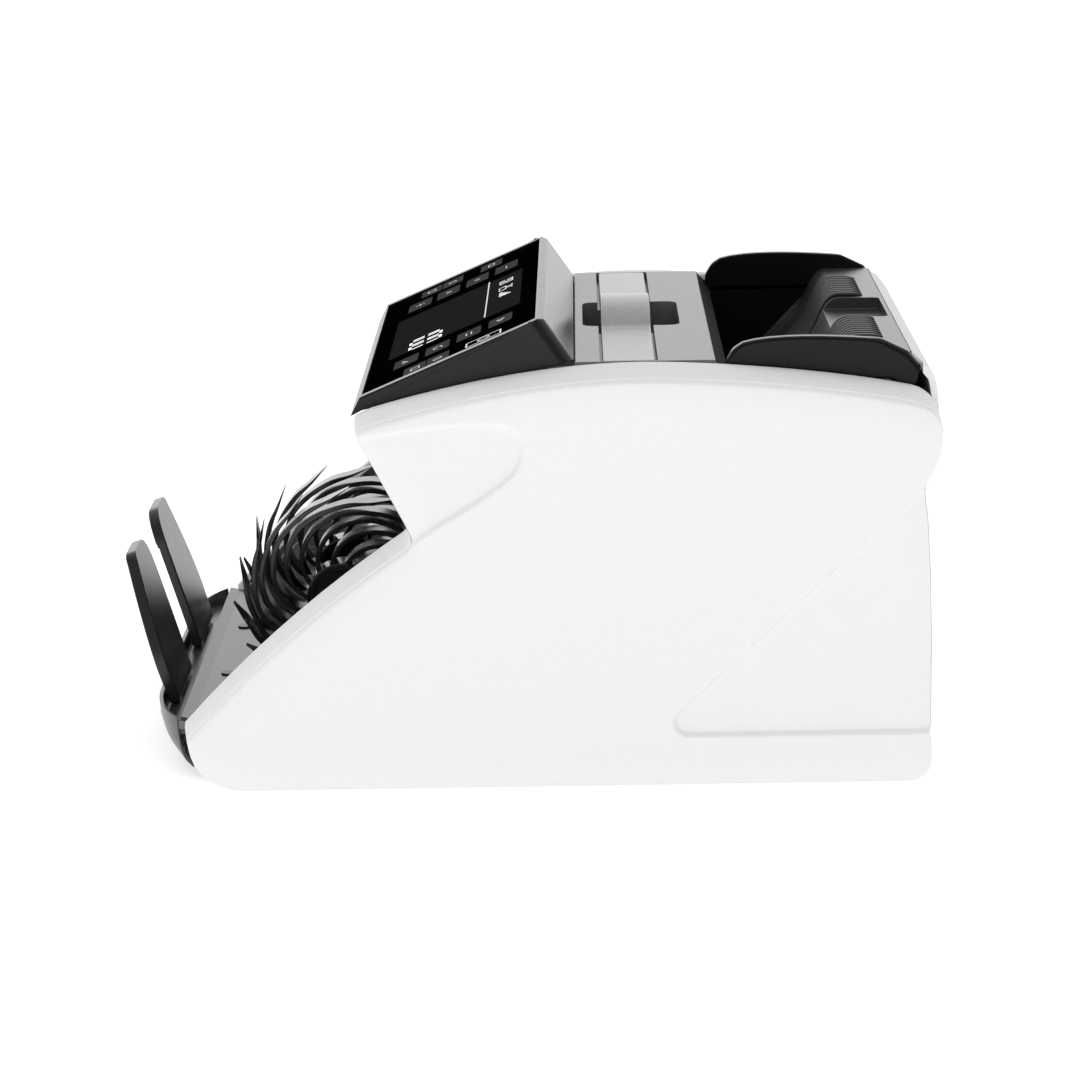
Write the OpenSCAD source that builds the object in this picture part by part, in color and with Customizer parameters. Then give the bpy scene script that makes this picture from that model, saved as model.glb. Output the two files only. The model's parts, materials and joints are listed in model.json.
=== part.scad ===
// Banknote counting machine, in millimetres.
// +X is to the operator's right, -Y is the front with the stacker, +Z is up.
// The origin is on the table under the middle of the machine.

/* [Casing] */
// Width over the two side covers
machine_w = 240; // [238:1:246]
// Width of the middle between the two side covers
inner_w = 196; // [194:0.5:196]
// Height of the flat top above the table
top_z = 153; // [153:0.5:156]
// Wall thickness of the side covers
cover_wall = 2.6; // [2:0.1:3]
// Depth of the shallow recesses in the side covers
recess_depth = 1.8; // [1:0.1:2]
// Height of the rubber feet
foot_h = 2.6; // [2:0.1:2.6]

/* [Display and keys] */
// Width of the touch glass
glass_w = 186; // [180:1:188]
// Thickness of the touch glass
glass_t = 1.5; // [1:0.1:1.5]

/* [Handle] */
// Length of the handle strip
handle_l = 192; // [180:1:193]
// Width of the handle strip
handle_w = 18.5; // [16:0.5:18.5]
// Height of the grip arch above the top
arch_rise = 7; // [4:0.5:8]

/* [Stacker] */
// Radius over the fin tips of a stacker wheel
wheel_r = 42.9; // [40:0.1:42.9]
// Number of fins on a stacker wheel
fin_count = 15; // [12:1:18]
// Distance of each stacker wheel from the middle
wheel_x = 21; // [20:1:24]

/* [Note path] */
// Radius of the feed rollers
feed_r = 17; // [16:0.1:17]
// Radius of the pickup rollers
pickup_r = 13; // [12:0.1:13]
// Radius of the transport rollers
transport_r = 14; // [13:0.1:14]
// Radius of the exit rollers
exit_r = 10; // [9:0.1:10]
// Gap between the feed rollers and the retard rollers
note_gap = 0.3; // [0.2:0.05:0.6]

/* [Hidden] */

$fn = 48;
slack = 0.03;

// Planes across the machine
cover_in = inner_w / 2;
cover_out = machine_w / 2;
frame_in = cover_in - 4;
frame_t = 2;
frame_out = frame_in + frame_t;
middle_x = cover_in - 0.5;
belt_x = [cover_in + 0.8, cover_in + 7.3];
pulley_w = 5.6;
belt_w = 3.4;
belt_t = 1.2;
belt_clear = 0.35;

// Shaft centres as [Y, Z]
shaft_r = 3;
bearing_r = 5.6;
stacker_at = [-69.6, 49];
exit_at = [-24, 76.6];
transport_at = [26.4, 82];
feed_at = [75.4, 88];
pickup_at = [104.5, 114.9];
exit_idler_r = 7;
transport_idler_r = 8;
exit_idler_at = [exit_at.x, exit_at.y + exit_r + exit_idler_r + 0.5];
transport_idler_at = [transport_at.x, transport_at.y + transport_r + transport_idler_r + 0.4];
retard_r = 14;
retard_lean = 13.6;
retard_at = feed_at + (feed_r + retard_r + note_gap) * [-sin(retard_lean), cos(retard_lean)];
main_motor_at = [41.4, 35];
feed_motor_at = [96.4, 45];
bearing_centres = [stacker_at, exit_at, transport_at, feed_at, pickup_at, exit_idler_at,
    transport_idler_at];

// Pulley radii
main_motor_pulley_r = 7;
transport_pulley_r = 14;
train_pulley_r = 7;
exit_pulley_r = 5;
stacker_pulley_r = 12;
feed_motor_pulley_r = 6;
feed_pulley_r = 12;
feed_train_pulley_r = 8;
pickup_pulley_r = 6.4;

// Wheels and rollers along the shafts
wheel_w = 12;
fin_w = 9;
fin_t = 1.9;
hub_r = 14;
fin_tips = [101, 110];
transport_x = 45;
transport_w = 14;
feed_x = 20;
feed_w = 14;
retard_w = 12;
pickup_x = 12;
pickup_w = 12;

// Line of the notes between the feed rollers and the exit rollers
path_slope = 0.189;
path_z0 = 91;
function path_z(y) = path_z0 + path_slope * y;

// Feed plate of the hopper, leaning back at 45 degrees
plate_line = 26.6;
shelf_z = top_z + 1;
plate_w = 2 * (frame_in - 1.2);

// Display slope
display_front = [-55.4, 141];
display_back = [6.8, 167.4];
display_run = display_back - display_front;
display_angle = atan2(display_run.y, display_run.x);
display_len = norm(display_run);

// Stop plates
stop_foot = [-129.4, 20];
stop_lean = 16.7;
stop_h = 56.4;
stop_t = 4.2;
stop_wall = 2;
stop_tabs = [[22, 28], [50, 56]];
stop_tab_y = [-132.4, -130.2];
bumper_front = -137.4;
bumper_top = 23.2;
bumper_t = 1.8;
bumper_shelf = [16.3, 18.3];

// Screws
screw_r = 1.5;
head_r = 3.2;
head_h = 1.8;
side_screws = [[-104, 14], [128, 16], [128, 128], [-44, 124]];
tie_rod_centres = [[-112, 12], [0, 14], [133, 112], [135, 10], [2, 124]];
foot_places = [for (x = [-80, 80], y = [-85, 125]) [x, y]];

// Parts on the back
inlet_at = [62, 31];
switch_at = [26, 31];
fuse_at = [-6, 31];
rear_screws = [for (x = [-88, 88], at = [[20, 146], [92, 144.5]]) [x, at[0], at[1]]];
stack_eye_at = [34, -114];
port_at = [-52, 33];
inlet_size = [28, 20];
switch_size = [13, 19];
port_size = [13, 11];
switch_tilt = 8;
rocker_pin_r = 1.2;

// ---------- helpers ----------

// Lays a YZ outline across the machine from x0 to x1
module along_x(x0, x1) {
    translate([x0, 0, 0])
        rotate([90, 0, 90])
            linear_extrude(height = x1 - x0)
                children();
}

// A round bar along X at a [Y, Z] centre
module bar_x(at, r, x0, x1) {
    translate([x0, at.x, at.y])
        rotate([0, 90, 0])
            cylinder(r = r, h = x1 - x0);
}

module block(x, y, z) {
    translate([x[0], y[0], z[0]])
        cube([x[1] - x[0], y[1] - y[0], z[1] - z[0]]);
}

// Its children, and the same ones mirrored to the other side
module both_sides() {
    children();
    mirror([1, 0, 0])
        children();
}

function unit(v) = v / norm(v);

// Points of a cubic curve without its last point
function curve(a, b, c, d, n) = [
    for (i = [0:n - 1]) let (t = i / n, s = 1 - t)
        s * s * s * a + 3 * s * s * t * b + 3 * s * t * t * c + t * t * t * d
];

// Moves each side of a clockwise outline inwards by d
function inset(p, d) = [
    for (i = [0:len(p) - 1])
        let (
            a = unit(p[i] - p[(i + len(p) - 1) % len(p)]),
            b = unit(p[(i + 1) % len(p)] - p[i]),
            na = [a.y, -a.x],
            nb = [b.y, -b.x]
        )
        p[i] + d * (na + nb) / (1 + na * nb)
];

// Outline of a sheet of thickness t on the right of an open line
function sheet(p, t) = let (
        last = len(p) - 1,
        away = [for (i = [0:last])
            let (
                a = unit(p[min(i + 1, last)] - p[min(i, last - 1)]),
                b = unit(p[max(i, 1)] - p[max(i - 1, 0)]),
                na = [a.y, -a.x],
                nb = [b.y, -b.x]
            )
            p[i] + t * (na + nb) / (1 + na * nb)]
    )
    concat(p, [for (i = [0:last]) away[last - i]]);

// Direction of the outer tangent point from pulley a to pulley b, each [[Y, Z], radius]
function tangent(a, b) = let (run = b[0] - a[0])
    atan2(run.y, run.x) - acos((a[1] - b[1]) / norm(run));

// Belt line around pulleys listed anticlockwise, at distance extra from their rims
function belt_line(pulleys, extra) = let (n = len(pulleys), steps = 10) [
    for (i = [0:n - 1])
        let (
            here = pulleys[i],
            start = tangent(pulleys[(i + n - 1) % n], here),
            turn = (tangent(here, pulleys[(i + 1) % n]) - start + 720) % 360
        )
        for (k = [0:steps])
            here[0] + (here[1] + extra) * [cos(start + turn * k / steps), sin(start + turn * k / steps)]
];

module belt(pulleys, x0) {
    color("#1a1a1a")
        along_x(x0, x0 + belt_w)
            difference() {
                polygon(belt_line(pulleys, belt_clear + belt_t));
                polygon(belt_line(pulleys, belt_clear));
            }
}

// A flanged pulley on the plus side, its inner face at x0
module pulley(at, r, x0) {
    flange = 0.8;
    bar_x(at, r, x0, x0 + pulley_w);
    bar_x(at, r + 1.4, x0, x0 + flange);
    bar_x(at, r + 1.4, x0 + pulley_w - flange, x0 + pulley_w);
}

// ---------- frame ----------

module base_plate() {
    slot_x = [wheel_x - 8, wheel_x + 8];
    color("#8c9094")
        difference() {
            block([-middle_x, middle_x], [-112, 143], [foot_h, foot_h + frame_t]);
            both_sides()
                block(slot_x, [-98, -42], [0, 8]);
            for (i = [0:6])
                block([-75, -25], [72 + 8 * i, 75 + 8 * i], [0, 8]);
            for (p = foot_places)
                translate([p.x, p.y, 0])
                    cylinder(r = screw_r, h = 8);
        }
}

module rubber_feet() {
    color("#202020")
        for (p = foot_places)
            translate([p.x, p.y, 0])
                difference() {
                    cylinder(r = 8, h = foot_h);
                    translate([0, 0, -1])
                        cylinder(r = head_r + 0.3, h = 2.2);
                    cylinder(r = screw_r, h = 8);
                }
}

module base_screws() {
    color("silver")
        for (p = foot_places)
            translate([p.x, p.y, 0.4]) {
                cylinder(r = head_r, h = 0.8);
                cylinder(r = screw_r, h = 7);
            }
}

module frame_side() {
    outline = [[-112, 4.6], [-118, 10], [-118, 24], [-62, 71.5], [-33, 92], [-52, 131],
        [14, 144.8], [132, 144.8], [140, 134], [140, 4.6]];
    difference() {
        union() {
            along_x(frame_in, frame_out)
                polygon(outline);
            for (p = rear_screws)
                block([frame_in - 10, frame_in + 0.5], [138, 140], [p.y - 5, p.y + 5]);
        }
        for (p = rear_screws)
            bar_y(p, screw_r, 130, 141);
        for (at = bearing_centres)
            bar_x(at, bearing_r, frame_in - 1, frame_out + 1);
        for (at = side_screws)
            bar_x(at, screw_r, frame_in - 1, frame_out + 1);
        block([frame_in - 1, frame_out + 1], [44, 60], [88, 138]);
    }
}

module right_frame() {
    color("#a4a8ac")
        difference() {
            frame_side();
            bar_x(feed_motor_at, 5, frame_in - 1, frame_out + 1);
        }
}

module left_frame() {
    color("#a4a8ac")
        mirror([1, 0, 0])
            difference() {
                frame_side();
                bar_x(main_motor_at, 5, frame_in - 1, frame_out + 1);
            }
}

module frame_tie_rods() {
    color("silver")
        for (at = tie_rod_centres)
            bar_x(at, 4, -frame_in, frame_in);
}

module shaft_bearings() {
    color("#b5a642")
        both_sides()
            for (at = bearing_centres)
                difference() {
                    bar_x(at, bearing_r, frame_in - 0.8, frame_out + 0.6);
                    bar_x(at, shaft_r, frame_in - 2, frame_out + 2);
                }
}

// ---------- casing ----------

// Side cover outline, clockwise from the nose
cover_outline = concat(
    [[-59, 135.2]],
    curve([-52, 138.2], [-28, 145], [8, top_z], [43, top_z], 9),
    curve([43, top_z], [70, top_z], [115, 148.5], [139.5, 143.2], 6),
    curve([139.5, 143.2], [146, 141.5], [149.5, 136], [149.5, 129.5], 4),
    curve([149.5, 129.5], [149.5, 122], [147, 116], [142.6, 110], 4),
    [[142.6, 110], [144.2, 100], [146, 62]],
    curve([146, 10], [146, 5.5], [142.5, 2], [138, 2], 5),
    curve([-102, 2], [-117, 2], [-122.5, 9], [-123.2, 23], 6),
    curve([-123.2, 23], [-96, 53], [-66, 77], [-38.5, 95], 7),
    [[-38.5, 95]]
);

// Rounded finger shaped recess behind the nose
nose_recess = concat(
    [[-70, 128]],
    curve([-58, 130.5], [-40, 134], [-22, 136.5], [-8, 135.5], 4),
    curve([-8, 135.5], [4, 134.5], [4, 122], [-3, 116], 6),
    [[-28, 99.4], [-50, 84]]
);

// Three-cornered recess above the rear flange
rear_recess = concat(
    [[170, 136.5], [170, 20.8]],
    curve([59, 20.8], [54, 21], [52, 26], [56, 30.5], 5),
    [[56, 30.5]]
);

module side_cover() {
    color("#f2f2f2")
        difference() {
            union() {
                difference() {
                    union() {
                        along_x(cover_in, cover_out - 6)
                            polygon(cover_outline);
                        along_x(cover_out - 6, cover_out - 3)
                            polygon(inset(cover_outline, 0.8));
                        along_x(cover_out - 3, cover_out - 1.4)
                            polygon(inset(cover_outline, 2));
                        along_x(cover_out - 1.4, cover_out)
                            polygon(inset(cover_outline, 3.4));
                    }
                    along_x(cover_in - 1, cover_out - 7)
                        polygon(inset(cover_outline, cover_wall));
                    along_x(cover_in, cover_out - recess_depth - 2.2)
                        polygon(inset(cover_outline, 3.4 + cover_wall));
                }
                for (at = side_screws)
                    bar_x(at, 4, cover_in, cover_out - 3);
            }
            for (at = side_screws)
                bar_x(at, screw_r, cover_in - 1, cover_in + 9);
            along_x(cover_out - recess_depth, cover_out + 1)
                polygon(nose_recess);
            along_x(cover_out - recess_depth, cover_out + 1)
                polygon(rear_recess);
        }
}

module right_side_cover() {
    side_cover();
}

module left_side_cover() {
    mirror([1, 0, 0])
        side_cover();
}

module cover_screws() {
    color("silver")
        both_sides()
            for (at = side_screws) {
                bar_x(at, head_r, frame_in - head_h, frame_in);
                bar_x(at, screw_r, frame_in - head_h, cover_in + 9);
            }
}

module display_housing() {
    outline = [[-59.8, 134.6], [-56.4, 141.4], [7.4, 168.6], [9.8, 168], [20.1, 153], [-55.6, 136.8]];
    hollow = [[-55.8, 134.5], [-53.6, 139.4], [7.2, 165.2], [16.6, 151.4], [16.6, 148.5]];
    color("#2a2a2c")
        difference() {
            along_x(-middle_x, middle_x)
                polygon(outline);
            along_x(-middle_x + 2.4, middle_x - 2.4)
                polygon(hollow);
            on_slope()
                block([-glass_w / 2, glass_w / 2], [0, display_len], [-glass_t, 9]);
        }
}

// Lays its children on the display slope: X across, Y up the slope, Z out of the glass
module on_slope() {
    translate([0, display_front.x, display_front.y])
        rotate([display_angle, 0, 0])
            children();
}

module display_glass() {
    color("#08080a")
        on_slope()
            block([-glass_w / 2, glass_w / 2], [0, display_len], [-glass_t, 0]);
}

module display_board() {
    color("#1f5f3a")
        on_slope() {
            block([-88, 88], [6, 58], [-6.6, -5]);
            block([-42, 42], [6.5, 57.5], [-5, -3.4]);
        }
}

module top_cover() {
    y = [20.4, 70];
    groove = [(y[0] + y[1] - handle_w) / 2 - 6.6, (y[0] + y[1] + handle_w) / 2 - 4.6];
    pocket_x = 26;
    pocket = [23.4, 59.9];
    pocket_z = top_z - 14;
    leg_x = [handle_leg_x - 2.3, handle_leg_x + 2.3];
    color("#3a3a3c")
        difference() {
            union() {
                along_x(-middle_x, middle_x)
                    polygon([[y[0], top_z - 2.5], [y[0], top_z], [y[1], top_z], [75, top_z - 5.5],
                        [75, top_z - 8], [72.6, top_z - 8], [72.6, top_z - 5.5], [69, top_z - 2.5]]);
                block([-middle_x, middle_x], [groove[0] - 2, groove[1] + 2], [top_z - 5.2, top_z - 2.5]);
                block([-pocket_x - 2, pocket_x + 2], [pocket[0] - 2, pocket[1] + 2],
                    [pocket_z - 2, top_z - 2.5]);
            }
            block([-handle_l / 2 - 0.5, handle_l / 2 + 0.5], groove, [top_z - 3.1, top_z + 1]);
            block([-pocket_x, pocket_x], pocket, [pocket_z, top_z + 1]);
            both_sides()
                block(leg_x, [handle_y - 6.3, handle_y + 6.3], [top_z - 9, top_z]);
            both_sides()
                block([plate_w / 2 - 0.1, cover_in], [73.6, 80], [top_z - 9, top_z + 1]);
        }
}

handle_y = 39.6;
handle_leg_x = 88;
handle_t = 2.6;
handle_leg_bottom = 119;

module carry_handle() {
    grip_half = 28;
    grip_r = (grip_half * grip_half + arch_rise * arch_rise) / (2 * arch_rise);
    centre_z = top_z + arch_rise - grip_r;
    ends = acos((centre_z - top_z + handle_t) / -grip_r);
    y = [handle_y - handle_w / 2, handle_y + handle_w / 2];
    color("#9a9a9c") {
        both_sides() {
            block([grip_half - 1, handle_l / 2], y, [top_z - handle_t, top_z]);
            block([handle_leg_x - 2, handle_leg_x + 2], [handle_y - 6, handle_y + 6],
                [handle_leg_bottom, top_z - handle_t]);
        }
        intersection() {
            translate([0, y[1], centre_z])
                rotate([90, 0, 0])
                    difference() {
                        cylinder(r = grip_r, h = handle_w, $fn = 128);
                        translate([0, 0, -1])
                            cylinder(r = grip_r - handle_t, h = handle_w + 2, $fn = 128);
                    }
            block([-grip_half, grip_half], y, [top_z - handle_t, top_z + arch_rise]);
        }
    }
}

module handle_guides() {
    color("#303032")
        both_sides()
            difference() {
                block([handle_leg_x - 5, frame_in], [handle_y - 9, handle_y + 9], [114, top_z - 5.6]);
                block([handle_leg_x - 2.3, handle_leg_x + 2.3], [handle_y - 6.3, handle_y + 6.3],
                    [116, top_z]);
            }
}

// ---------- hopper ----------

plate_top = concat(
    [[82.5, 82.5 + plate_line]],
    curve([108, 108 + plate_line], [116, 116 + plate_line], [115.5, shelf_z], [123, shelf_z], 6),
    [[123, shelf_z], [139.7, shelf_z]]
);

module hopper_feed_plate() {
    rib_h = 1.4;
    rib_w = 2.6;
    rib_pitch = 4.3;
    ribs_from = 24.5;
    rib_top = concat(
        [[99, 99 + plate_line]],
        curve([108, 109.4 + plate_line], [115, 116.4 + plate_line], [114.5, shelf_z + 1],
            [123, shelf_z + rib_h], 6),
        [[130, shelf_z + rib_h], [132, shelf_z]]
    );
    slot = [pickup_x - pickup_w / 2 - 0.8, pickup_x + pickup_w / 2 + 0.8];
    color("#2c2c2e") {
        difference() {
            along_x(-plate_w / 2, plate_w / 2)
                polygon(sheet(plate_top, 3));
            both_sides()
                block(slot, [88, 108.4], [100, 136]);
            block([-21, 21], [118, 138.2], [shelf_z - 4.6, shelf_z + 2]);
            translate([0, 90, 90 + plate_line])
                rotate([45, 0, 0])
                    cylinder(r = 3.1, h = 12, center = true);
        }
        difference() {
            block([-23, 23], [118.6, 139.7], [shelf_z - 6.6, shelf_z - 3]);
            block([-21, 21], [117, 138.2], [shelf_z - 4.6, shelf_z + 2]);
        }
        both_sides()
            for (i = [0:9])
                along_x(ribs_from + rib_pitch * i, ribs_from + rib_pitch * i + rib_w)
                    polygon(sheet(rib_top, 1.5));
    }
}

module hopper_sensor() {
    color("#101014")
        translate([0, 90, 90 + plate_line])
            rotate([45, 0, 0])
                translate([0, 0, -7])
                    cylinder(r = 3, h = 7);
}

module hopper_front_wall() {
    slot = [feed_x - retard_w / 2 - 1, feed_x + retard_w / 2 + 1];
    color("#2c2c2e")
        difference() {
            block([-plate_w / 2, plate_w / 2], [73, 75], [108, top_z - 8]);
            both_sides()
                block(slot, [70, 78], [100, 134.5]);
        }
}

module hopper_cheek() {
    upper = concat(
        [[73.9, 145.2], [73.9, 152.4], [76.5, 156.6]],
        curve([80, 158.8], [92, 162.2], [116, 160.5], [129, 159.4], 4),
        [[129, 159.4], [138.5, 154.8], [143.2, 149.2], [141.4, 143], [137.4, 141.4], [132.4, 145.2]]
    );
    skirt = [[76, 147.4], [118, 147.4], [76 + 6, 76 + 6 + plate_line + 1.6], [76, 112]];
    color("#2c2c2e") {
        along_x(frame_in - 1.1, middle_x - 0.2)
            polygon(upper);
        along_x(frame_in - 1.1, frame_in - 0.1)
            polygon(skirt);
    }
}

module right_hopper_cheek() {
    hopper_cheek();
}

module left_hopper_cheek() {
    mirror([1, 0, 0])
        hopper_cheek();
}

// ---------- back ----------

back_line = concat(
    [[140.1, shelf_z], [144.6, 149.6]],
    curve([147.6, 146], [149, 142], [149.4, 136], [149.4, 129.5], 4),
    curve([149.4, 129.5], [149.4, 122], [147, 116], [142.6, 110], 4),
    [[142.6, 110], [144.2, 100], [146, 62], [146, 5]]
);
back_t = 2.4;

module rear_cover() {
    color("#f2f2f2")
        difference() {
            along_x(-cover_in + 0.1, cover_in - 0.1)
                polygon(sheet(back_line, back_t));
            for (p = [[inlet_at, inlet_size], [switch_at, switch_size], [port_at, port_size]])
                block([p[0].x - p[1].x / 2, p[0].x + p[1].x / 2], [130, 160],
                    [p[0].y - p[1].y / 2, p[0].y + p[1].y / 2]);
            block([-cover_in, cover_in], [130, 140], [140, 156]);
            bar_y(fuse_at, 6.1, 130, 160);
            for (p = rear_screws) {
                bar_y(p, screw_r + 0.1, 130, 160);
                bar_y(p, head_r + 0.3, p.z - 1.5, 160);
            }
            for (x = [-80:4:-28])
                block([x, x + 2], [130, 160], [58, 86]);
            both_sides()
                block([plate_w / 2 - 0.1, cover_in + 1], [130, 143.6], [142.5, 156]);
        }
}

// A round bar along Y at an [X, Z] centre
module bar_y(at, r, y0, y1) {
    translate([at.x, y1, at.y])
        rotate([90, 0, 0])
            cylinder(r = r, h = y1 - y0);
}

module rear_cover_screws() {
    color("silver")
        for (p = rear_screws) {
            bar_y(p, screw_r, 136, p.z - 1);
            bar_y(p, head_r, p.z - 1.45, p.z - 0.1);
        }
}

module power_inlet() {
    rim = [for (i = [0:1]) inlet_size[i] / 2];
    color("#151517")
        difference() {
            union() {
                block([inlet_at.x - rim[0], inlet_at.x + rim[0]], [128, 146.1],
                    [inlet_at.y - rim[1], inlet_at.y + rim[1]]);
                block([inlet_at.x - rim[0] - 1.5, inlet_at.x + rim[0] + 1.5], [146.1, 147.6],
                    [inlet_at.y - rim[1] - 1.5, inlet_at.y + rim[1] + 1.5]);
            }
            block([inlet_at.x - 12, inlet_at.x + 12], [131, 150], [inlet_at.y - 8, inlet_at.y + 8]);
        }
    color("silver")
        for (pin = [[-7, -2], [7, -2], [0, 2]])
            block([inlet_at.x + pin.x - 1, inlet_at.x + pin.x + 1], [130.5, 144],
                [inlet_at.y + pin.y - 2, inlet_at.y + pin.y + 2]);
}

module switch_body() {
    half = switch_size / 2;
    color("#151517")
        difference() {
            union() {
                block([switch_at.x - half.x, switch_at.x + half.x], [129, 146.1],
                    [switch_at.y - half.y, switch_at.y + half.y]);
                block([switch_at.x - half.x - 1, switch_at.x + half.x + 1], [146.05, 147],
                    [switch_at.y - half.y - 1, switch_at.y + half.y + 1]);
            }
            block([switch_at.x - half.x + 0.7, switch_at.x + half.x - 0.7], [138, 150],
                [switch_at.y - half.y + 0.6, switch_at.y + half.y - 0.6]);
            bar_x([143, switch_at.y], rocker_pin_r + 0.05, switch_at.x - 6.3, switch_at.x + 6.3);
        }
}

module power_switch() {
    half = switch_size.y / 2 - 1.4;
    color("#b01818")
        translate([0, 143, switch_at.y])
            rotate([-switch_tilt, 0, 0]) {
                along_x(switch_at.x - switch_size.x / 2 + 1, switch_at.x + switch_size.x / 2 - 1)
                    polygon([[-3, -4], [-3, 4], [3.4, half], [2.4, 0], [3.4, -half]]);
                bar_x([0, 0], rocker_pin_r, switch_at.x - 6.2, switch_at.x + 6.2);
            }
}

module fuse_holder() {
    color("#151517") {
        bar_y(fuse_at, 6, 126, 146);
        bar_y(fuse_at, 7.4, 146.05, 148);
        bar_y(fuse_at, 4.6, 146, 149);
    }
}

module display_port() {
    half = port_size / 2;
    color("#606468")
        difference() {
            block([port_at.x - half.x, port_at.x + half.x], [132, 146.6],
                [port_at.y - half.y, port_at.y + half.y]);
            block([port_at.x - half.x + 1.4, port_at.x + half.x - 1.4], [134, 150],
                [port_at.y - half.y + 1.4, port_at.y + half.y - 1.4]);
        }
}

// ---------- stacker ----------

module stack_tray() {
    floor_line = concat(
        [[-125.4, 23.4], [-121, 22.4]],
        curve([-104, 22.4], [-96, 24], [-87, 41], [-69.6, 56.6], 6),
        curve([-69.6, 56.6], [-60, 64.4], [-48, 70], [-36.5, 75.5], 4),
        [[-36.5, 75.5]]
    );
    cut = wheel_w / 2 + 0.8;
    color("#4a4a4e")
        difference() {
            along_x(-frame_in, frame_in)
                polygon(sheet(floor_line, 1.6));
            both_sides()
                block([wheel_x - cut, wheel_x + cut], [-107.5, -26], [10, 96]);
            both_sides() {
                bar_z(stack_eye_at, 2.7, 15, 30);
                bar_x(stacker_at, bearing_r + 0.6, frame_in - 1.4, frame_in + 1);
            }
        }
}

module bar_z(at, r, z0, z1) {
    translate([at.x, at.y, z0])
        cylinder(r = r, h = z1 - z0);
}

module stack_sensor() {
    color("#0c0c0e")
        both_sides()
            bar_z(stack_eye_at, 2.6, 17, 23);
}

stop_outline = concat(
    [[17, 0], [17, 42]],
    curve([17.5, 46], [18.5, 52], [22, stop_h], [28, stop_h], 4),
    curve([28, stop_h], [34, stop_h], [40, stop_h], [44, stop_h], 1),
    curve([44, stop_h], [47, stop_h], [48.5, stop_h - 1.5], [49, stop_h - 4], 3),
    curve([49, stop_h - 4], [54, 44], [62.5, 26], [62.5, 14], 5),
    [[62.5, 14], [61, 0]]
);

module stop_plate() {
    color("#303034", 0.9) {
        translate([0, stop_foot.x, stop_foot.y])
            rotate([90 + stop_lean, 0, 0])
                difference() {
                    linear_extrude(height = stop_t)
                        polygon(stop_outline);
                    translate([0, 0, stop_wall])
                        linear_extrude(height = stop_t)
                            polygon(inset(stop_outline, 2.2));
                }
        for (x = stop_tabs)
            block(x, stop_tab_y, [bumper_shelf[0] - 0.9, bumper_shelf[1] + 2.5]);
    }
}

module right_stop_plate() {
    stop_plate();
}

module left_stop_plate() {
    mirror([1, 0, 0])
        stop_plate();
}

// Solid bowl as wide as the tray, bowed out at the front and drawn in underneath
module bumper_bowl(top) {
    half = cover_in - 0.1;
    bow = concat(
        curve([-half, -126.9], [-84, -133.4], [-72, bumper_front], [-54, bumper_front], 6),
        [[-54, bumper_front]],
        curve([54, bumper_front], [72, bumper_front], [84, -133.4], [half, -126.9], 6),
        [[half, -126.9], [half, -121.6], [-half, -121.6]]
    );
    intersection() {
        along_x(-half, half)
            polygon([[bumper_front, top], [-137.1, 18.5], [-134.9, 10.9], [-130, 6.8], [-124, 3.8],
                [-121.6, 3.6], [-121.6, top]]);
        linear_extrude(height = top)
            polygon(bow);
    }
}

module front_bumper() {
    color("#3c3c40")
        difference() {
            bumper_bowl(bumper_top);
            difference() {
                translate([0, bumper_t, bumper_t])
                    bumper_bowl(bumper_top + 4);
                block([-cover_in, cover_in], [-140, -122.4], bumper_shelf);
            }
            both_sides()
                for (x = stop_tabs)
                    block(x, stop_tab_y, [10, 20]);
        }
}

// Middle line of a fin: the angle behind its tip, and the radius as a share of wheel_r
fin_line = [[0, 0.996], [3, 0.963], [9, 0.911], [14, 0.881], [21, 0.86], [34, 0.814], [47, 0.779],
    [56, 0.755], [75, 0.664], [90, 0.571], [104, 0.455], [118, 0.303]];
fin_taper = 22;

// Fins of a stacker wheel, long and nearly concentric, with tips that flick outwards
module fins() {
    function spine(a) = wheel_r * lookup(a, fin_line) * [cos(a), sin(a)];
    function side(a, s) = let (
            along = unit(spine(a + 1) - spine(a - 1)),
            half = fin_t / 2 * min(1, 0.2 + 0.8 * a / fin_taper)
        )
        spine(a) + s * half * [-along.y, along.x];
    last = len(fin_line) - 1;
    fin = concat(
        [for (p = fin_line) side(p[0], 1)],
        [for (i = [0:last]) side(fin_line[last - i][0], -1)]
    );
    for (k = [0:fin_count - 1])
        rotate(360 / fin_count * k)
            polygon(fin);
}

// A stacker wheel with one fin tip at the angle tip
module stacker_wheel(tip) {
    color("#141416")
        translate([0, stacker_at.x, stacker_at.y]) {
            along_x(wheel_x - fin_w / 2, wheel_x + fin_w / 2)
                rotate(tip)
                    fins();
            difference() {
                bar_x([0, 0], hub_r, wheel_x - wheel_w / 2, wheel_x + wheel_w / 2);
                bar_x([0, 0], shaft_r - slack, wheel_x - wheel_w, wheel_x + wheel_w);
            }
        }
}

module right_stacker_wheel() {
    stacker_wheel(fin_tips[1]);
}

module left_stacker_wheel() {
    mirror([1, 0, 0])
        stacker_wheel(fin_tips[0]);
}

module stacker_shaft() {
    color("silver") {
        bar_x(stacker_at, shaft_r - slack, -belt_x[1] - pulley_w, frame_out + 1.5);
        mirror([1, 0, 0])
            pulley(stacker_at, stacker_pulley_r, belt_x[1]);
    }
}

// ---------- note path ----------

module exit_rollers() {
    color("#4b4b4b") {
        bar_x(exit_at, shaft_r - slack, -belt_x[1] - pulley_w, frame_out + 1.5);
        both_sides()
            bar_x(exit_at, exit_r, transport_x - transport_w / 2, transport_x + transport_w / 2);
        mirror([1, 0, 0])
            pulley(exit_at, exit_pulley_r, belt_x[1]);
    }
}

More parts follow.
